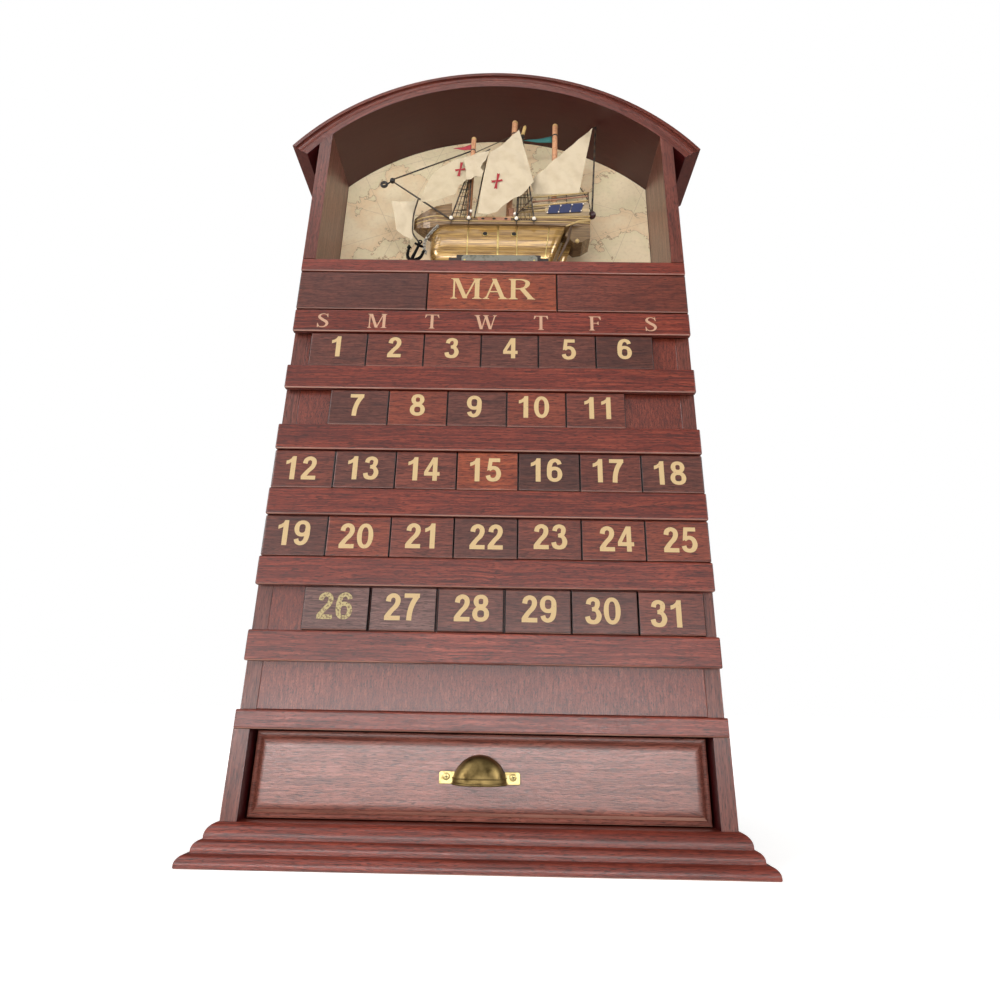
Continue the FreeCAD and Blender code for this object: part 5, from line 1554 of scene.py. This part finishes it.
    def cloth(self, place: Place, outline: Outline, seed: float, step: float = 1.6) -> tuple[list[Vector],
                                                                                             Faces]:
        """Cuts a sail to its outline and lets it belly and crease.

        Args:
            place: gives a point from place along, height above the deck and distance in front.
            outline: its corners, along and up, in millimetres.
            seed: makes its creases its own.
            step: size of the mesh's triangles.

        Returns:
            Points and faces.
        """
        corners = [Vector(p) for p in outline]
        edge = []
        for a, b in zip(corners, corners[1:] + corners[:1]):
            parts = max(1, round((b - a).length / step))
            edge += [a.lerp(b, k / parts) for k in range(parts)]
        low = [min(p[i] for p in corners) for i in (0, 1)]
        high = [max(p[i] for p in corners) for i in (0, 1)]
        inner = []
        for i in range(int((high[0] - low[0]) / step) + 1):
            for j in range(int((high[1] - low[1]) / step) + 1):
                inner.append(Vector((low[0] + (i + 0.5 * (j % 2)) * step, low[1] + j * step)))
        loop = [(k, (k + 1) % len(edge)) for k in range(len(edge))]
        points, _, faces, *_ = delaunay_2d_cdt(edge + inner, loop, [], 1, 0.05)
        middle = Vector(((low[0] + high[0]) / 2, (low[1] + high[1]) / 2))
        size = max(high[0] - low[0], high[1] - low[1])
        made = []
        for p in points:
            near = 1 - min(1.0, ((p - middle).length / (size * 0.55)) ** 2)
            folds = noise.noise(Vector((p.x * 0.11 + p.y * 0.05, p.y * 0.03 - p.x * 0.04, seed * 3)))
            fine = noise.noise(Vector((p.x * 0.3, p.y * 0.09, seed)))
            out = 0.5 + self.billow * near + self.crease * abs(folds) + self.cockle * fine
            made.append(place(p.x, p.y, out))
        return made, [tuple(f) for f in faces]

    def sail(self, name: str, place: Place, outline: Outline, seed: float,
             cross: tuple[float, float, float] | None = None, first: bool = False) -> None:
        """Makes a sail as a sheet of cloth, with its painted cross.

        Args:
            name: the piece's name.
            place: see cloth.
            outline: see cloth.
            seed: see cloth.
            cross: middle and height of the cross, or none.
            first: whether this sail stands for the CAD's sails.
        """
        cloth = Shape()
        cloth.add(*self.cloth(place, outline, seed))
        # The first sail, the fore sail, takes the shaded copy of the cloth: painted shade.
        made = cloth.piece(name, SAIL_SHADED if first else SAIL, "sailcloth",
                           replaces=["ship_sails"] if first else ())
        wide, tall = (max(side) - min(side) for side in zip(*outline))
        twice = sum(a[0] * b[1] - b[0] * a[1] for a, b in zip(outline, [*outline[1:], outline[0]]))
        if not cross:
            return
        cx, cz, size = cross
        paint = Shape()
        for turn in range(4):
            angle = pi / 2 * turn - 0.12 + (0.0 if turn % 2 else 0.35)
            along = Vector((cos(angle), sin(angle)))
            side = Vector((-sin(angle), cos(angle)))
            reach = size * (0.5 if turn % 2 else 0.27)
            arm = (side * 0.5, side * -0.5, along * reach - side, along * (reach - 0.5), along * reach + side)
            flat = [place(cx + p.x, cz + p.y, 0.0) for p in arm]
            nearest = [min(cloth.points, key=lambda q: (q.x - f.x) ** 2 + (q.z - f.z) ** 2) for f in flat]
            out = min(q.y for q in nearest) - 0.25 - 0.02 * turn
            paint.add([(f.x, out, f.z) for f in flat], [(0, 1, 2, 3, 4)])
        paint.piece(f"{name}_cross", CROSS, "sailcloth", smooth=False)

    def sails(self) -> None:
        """Makes the three sails on yards, the torn cloth beside the first, and the spritsail."""
        for number, (mast, outline) in enumerate(self.SAILS.items()):
            cross = self.CROSSES.get(mast)
            self.sail(f"ship_{mast}_sail", lambda x, z, out, m=mast: self.hung(m, x, z / self.rig, out + 0.6),
                      self.raised(outline), 1.7 + number,
                      cross and (cross[0], cross[1] * self.rig, cross[2]), first=number == 0)

        def torn(x: float, z: float, out: float) -> Vector:
            """Gives a point of the torn cloth, which stands off the first sail, most of all aft."""
            return self.hung("fore", x, z / self.rig, out + 1.9 + 0.1 * (x + 7))

        self.sail("ship_fore_sail_torn", torn, self.raised(self.TORN), 5.3)
        foot, tip = self.sprit()
        along = (self.stem + 1.3 - foot.x) / (tip.x - foot.x)
        front = (foot + (tip - foot) * along).y + 2.4
        self.sail("ship_spritsail", lambda x, z, out: Vector((self.stem + x, front - out, self.deck + z)),
                  self.raised(self.SPRITSAIL), 9.1)

    def raised(self, outline: Outline) -> list[tuple[float, float]]:
        """Turns an outline's shares of the rig into heights above the deck."""
        return [(x, share * self.rig) for x, share in outline]

    def rigging(self) -> None:
        """Sets up shrouds, ratlines, stays, dead-eyes and beads."""
        cords, net, beads, rings = Shape(), Shape(), Shape(), Shape()
        shrouds: dict[str, list[tuple[Vector, Vector]]] = {"fore": [], "main": []}
        for mast, x in self.DEAD_EYES:
            low, top = self.dead_eye(mast, x), Vector(self.SHROUD_TOPS[mast])
            shrouds[mast].append((low, top))
            cords.rod([low, low.lerp(top, 0.5), top], self.shroud, 8)
            beads.ball(low, self.bead, steps=8)
            rings.rod(hoop(low + Vector((0, 0.5, 0)), (1.35, 0, 0), (0, 0, 1.35), 16), 0.45, 6)
            cords.rod([low + Vector((0, 0.6, -1.2)), low + Vector((0, 0.9, -4.2))], self.lanyard, 6)
            low, top = self.mirrored(low), self.mirrored(top)
            cords.rod([low, low.lerp(top, 0.5), top], self.far_shroud, 7)
            beads.ball(low, self.bead, steps=6)
        for x, z in ((-15.8, 383.2), (13.7, 381.4)):
            beads.ball((x, self.line - self.half_beam + 0.2, z), self.fairlead, steps=8)
        for (low_a, top_a), (low_b, top_b) in shrouds.values():
            for k in range(1, 14):
                t = k / 14 + 0.02 * sin(k * 2.6)
                self.both_sides(net, [low_a.lerp(top_a, t), low_b.lerp(top_b, t)], self.ratline, 5)
            for s in (0.25, 0.5, 0.75):
                foot = low_a.lerp(low_b, s)
                self.both_sides(net, [foot, foot.lerp(top_a.lerp(top_b, s), 0.95)], self.net_upright, 5)
        _, tip = self.sprit()
        stay = self.on_mast("fore", 0.71 * self.rig) - Vector((1.9, 0, 0))
        cords.rod([tip + Vector((0, 0, 1.1)), stay], self.stay, 7)
        cords.rod([(-13.3, -10.6, 377.0), (-10.0, -6.4, 408.0), (-6.6, -3.4, 438.0)], self.stay, 7)
        head = self.on_mast("main", 0.86 * self.rig) - Vector((2.2, 0, 0))
        cords.rod([self.on_mast("fore", 0.7 * self.rig) + Vector((1.8, 0, 0)), head], self.mast_stay, 6)
        knob = self.knob()
        peak = self.hung("mizzen", *MASTS["mizzen"].yard[1]) + Vector((0.9, 0, 0))
        cords.rod([peak, peak.lerp(knob, 0.5), knob + (peak - knob).normalized() * 2.5], self.sheet, 8)
        clew = self.hung("mizzen", 15.2, 0.36, 0.6)
        slack = clew.lerp(knob, 0.45) + Vector((1.6, 0, 0.6))
        cords.rod(blend_line([clew, slack, knob + Vector((-0.6, 0, 2.5))], 6), self.clew_line, 6)
        top = Vector(self.SHROUD_TOPS["main"])
        for k in range(7):
            knot = Vector((1.1 * sin(k * 2.4), 0.6 * cos(k * 1.7), 1.6 - 0.75 * k))
            cords.ball(top + knot, self.knot, steps=6)
        cords.rod([top, top + Vector((-2.0, -0.6, -14.0)), top + Vector((-3.4, -1.0, -34.0))],
                  self.halyard, 6)
        cords.piece("ship_cords", CORD, CORD_SLOT, replaces=["ship_rigging"])
        net.piece("ship_ratlines", NET_CORD, CORD_SLOT)
        beads.piece("ship_beads", PEARL, CORD_SLOT)
        rings.piece("ship_bead_rings", RING, CORD_SLOT)

    def anchor(self) -> None:
        """Builds the anchor with its chain and rope."""
        out = self.line - self.half_beam - 1.0
        at = {name: Vector((self.stem + x, out, self.deck + rise)) for name, (x, rise) in self.ANCHOR.items()}
        ring, crown = at["ring"], at["crown"]
        iron, chain, rope = Shape(), Shape(), Shape()
        iron.rod([ring, ring.lerp(crown, 0.5), crown], (0.75, 0.95, 1.25), 8)
        for tip, way in ((at["fluke"], -1), (at["far_fluke"], 1)):
            bow = crown.lerp(tip, 0.5) + Vector((way * 1.6, 0, -1.4))
            arm = blend_line([crown + Vector((0, 0, -0.5)), bow, tip], 6)
            iron.rod(arm, [1.2 - 0.3 * k / (len(arm) - 1) for k in range(len(arm))], 8)
            root = ((-1.5, -0.4), (-1.5, 0.4), (1.5, 0.4), (1.5, -0.4))
            iron.rings([[tip + Vector((way * 0.4, d, 2.2)) for d in (-0.25, 0.25, 0.25, -0.25)],
                        [tip + Vector((x, y, -0.8)) for x, y in root]])
        stock = ring.lerp(crown, 0.12)
        iron.rod([stock + Vector((-2.6, -0.3, 1.4)), stock, stock + Vector((3.2, 0.3, -1.2))],
                 (0.7, 1.0, 0.7), 8)
        iron.rod(hoop(ring + Vector((0, 0, 1)), (1.2, 0, 0), (0, 0, 1.2), 14), 0.42, 6)
        iron.piece("ship_anchor_iron", IRON, "black_iron", replaces=["ship_anchor"])
        bends = ((-41.2, 364.4), (-44.4, 358.6), (-45.3, 352.6), (-43.8, 347.0))
        line = blend_line([at["eye"], *((x, out, z) for x, z in bends)], 4)
        for k, (a, b) in enumerate(zip(line[:-1], line[1:])):
            along = (b - a).normalized()
            side = Vector((0, 1, 0)) if k % 2 else along.cross(Vector((0, 1, 0)))
            chain.rod(hoop((a + b) / 2, along * (b - a).length * 0.72, side * 0.9, 12), 0.34, 6)
        chain.piece("ship_anchor_chain", STEEL, "black_iron")
        bends = ((3.0, 4.6, 396.0), (1.4, 2.4, 382.0), (1.6, 0.4, 370.0), (2.4, 0.0, 363.0),
                 (5.4, 0.0, 358.0))
        rope.rod(blend_line([*((self.stem + x, out + y, z) for x, y, z in bends), ring], 5),
                 self.anchor_rope, 7)
        rope.piece("ship_anchor_rope", CORD, CORD_SLOT)

    def stand(self) -> None:
        """Dresses the stand and puts a bare metal plate on it."""
        dress_node("ship_stand", STAND_WOOD)
        plate, pins = Shape(), Shape()
        x0, x1, z0, z1, cut = -20.2, 28.3, 336.2, 343.6, 1.6
        plate.slab([(x0 + cut, z0), (x1 - cut, z0), (x1, z0 + cut), (x1, z1 - cut), (x1 - cut, z1),
                    (x0 + cut, z1), (x0, z1 - cut), (x0, z0 + cut)], -14.05, -13.7)
        plate.piece("ship_plate", PEWTER, "stand_wood", smooth=False)
        for x in (x0 + 2.0, x1 - 2.0):
            pins.ball((x, -14.1, (z0 + z1) / 2), 0.7, (1, 0.5, 1), 6)
        pins.piece("ship_plate_pins", BRASS_BRIGHT, "stand_wood")


# -------- studio

@dataclass
class Studio:
    """Camera, lamps, floor and world."""

    eye: tuple[float, float, float] = (0.01081, -0.33342, 0.06967)  # metres
    pitch: float = 18.73  # degrees, as are the next two
    yaw: float = -0.632
    roll: float = 1.072
    lens: float = 21.93  # mm

    # Each lamp: its name, place, aim and size in metres, and power in watts. The low bars before the drawer
    # light the foot, the strip and the high lamps the roof and the ship, and left and right the whole front.
    LAMPS = (("low_bar", (-0.1, -0.9, 0.03), (0.0, 0.0, 0.10), (1.2, 0.05), 3.5),
             ("low_wide", (0.0, -1.25, 0.25), (0.0, 0.0, 0.15), (1.6, 0.3), 2.2),
             ("front_up", (-0.1, -1.3, 0.85), (0.0, 0.0, 0.3), (1.2, 0.26), 1.2),
             ("strip", (-0.2, -1.3, 1.85), (0.0, 0.0, 0.36), (1.2, 0.2), 3.4),
             ("high_front", (-0.3, -0.8, 2.6), (0.0, 0.0, 0.3), (1.4, 0.6), 2.0),
             ("high_left", (-1.2, -0.9, 1.9), (0.0, 0.0, 0.3), (0.7, 0.7), 4.5),
             ("left", (-1.5, -1.1, 0.75), (0.0, 0.0, 0.25), (0.6, 0.9), 20.0),
             ("right", (1.6, -1.0, 0.9), (0.0, 0.0, 0.25), (0.6, 0.9), 17.0))

    def camera(self) -> None:
        """Places the camera low in front of the drawer, looking up."""
        pitch, yaw, roll = (radians(a) for a in (self.pitch, self.yaw, self.roll))
        ahead = Vector((sin(yaw) * cos(pitch), cos(yaw) * cos(pitch), sin(pitch)))
        level = Vector((cos(yaw), -sin(yaw), 0.0))
        lift = level.cross(ahead)
        right = level * cos(roll) + lift * sin(roll)
        up = lift * cos(roll) - level * sin(roll)
        data = bpy.data.cameras.new("camera")
        data.lens = self.lens
        data.sensor_width = 36.0
        data.clip_start = 0.01
        made = bpy.data.objects.new("camera", data)
        made.matrix_world = Matrix.Translation(self.eye) @ Matrix((right, up, -ahead)).transposed().to_4x4()
        bpy.context.scene.collection.objects.link(made)
        bpy.context.scene.camera = made

    def lamp(self, name: str, place: Sequence[float], aim: Sequence[float], size: tuple[float, float],
             power: float) -> None:
        """Adds a soft lamp.

        Args:
            name: its name.
            place: where it hangs, in metres.
            aim: the point that it faces.
            size: its width and height.
            power: its power in watts.
        """
        data = bpy.data.lights.new(name, "AREA")
        data.shape = "RECTANGLE"
        data.size, data.size_y = size
        data.energy = power
        made = bpy.data.objects.new(name, data)
        made.location = place
        made.rotation_euler = (Vector(aim) - Vector(place)).to_track_quat("-Z", "Y").to_euler()
        bpy.context.scene.collection.objects.link(made)

    def floor(self) -> None:
        """Lays a white floor, which glows for the camera less near the object than far off, and keeps the
        object's shadow.
        """
        mesh = bpy.data.meshes.new("floor")
        mesh.from_pydata([(-9, -9, 0), (9, -9, 0), (9, 9, 0), (-9, 9, 0)], [], [(0, 1, 2, 3)])
        material = bpy.data.materials.new("matt_white_paper")
        material.use_nodes = True
        tree = material.node_tree
        paper = tree.nodes["Principled BSDF"]
        connect(tree, paper, {"Base Color": linear("#e9e8e6"), "Roughness": 0.8})
        add = partial(add_node, tree)
        path = add("LightPath")
        at = add("TexCoord").outputs["Object"]
        far = add("VectorMath", {0: at}, operation="LENGTH")
        # Painted glow for camera rays: weaker near the object, so the floor is darker around it beside its
        # real shadow.
        rise = add("MapRange", {0: far, 1: 0.12, 2: 0.55, 3: 0.62, 4: 1.0})
        camera_glow = add("Emission", {"Strength": rise, "Color": (1, 1, 1, 1)})
        bright = add("AddShader", {0: paper, 1: camera_glow})
        both = add("MixShader", {0: path.outputs["Is Camera Ray"], 1: paper, 2: bright})
        connect(tree, tree.nodes["Material Output"], {"Surface": both})
        mesh.materials.append(material)
        made = bpy.data.objects.new("floor", mesh)
        bpy.context.scene.collection.objects.link(made)
        made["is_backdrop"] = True

    def world(self) -> None:
        """Fills the world with even light, seen as white."""
        world = bpy.data.worlds.new("studio")
        world.use_nodes = True
        tree = world.node_tree
        tree.nodes.clear()
        add = partial(add_node, tree)
        path = add("LightPath")
        seen = add("Math", {0: path.outputs["Is Camera Ray"], 1: path.outputs["Is Transmission Ray"]},
                   operation="MAXIMUM")
        even = add("Background", {"Color": linear("#fffdfa"), "Strength": 0.13})
        white = add("Background", {"Color": (1, 1, 1, 1), "Strength": 1.0})
        both = add("MixShader", {0: seen, 1: even, 2: white})
        add("OutputWorld", {"Surface": both})
        bpy.context.scene.world = world

    def build(self) -> None:
        """Lays the floor, sets the world and hangs the lamps."""
        self.floor()
        self.world()
        for lamp in self.LAMPS:
            self.lamp(*lamp)
        bpy.context.scene.view_settings.view_transform = "Standard"


def main() -> None:
    """Builds the classes in order and reports each piece."""
    logging.basicConfig(level=logging.INFO, format="%(name)s: %(message)s")
    studio = Studio()
    studio.camera()
    Case().dress()
    Calendar().build()
    Drawer().build()
    Ship().build()
    studio.build()
    sizes = {"cad": CAD_BOX, "visual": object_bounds()}
    {name: [list(map(float, corner)) for corner in box] for name, box in sizes.items()}


if __name__ == "__main__":
    main()
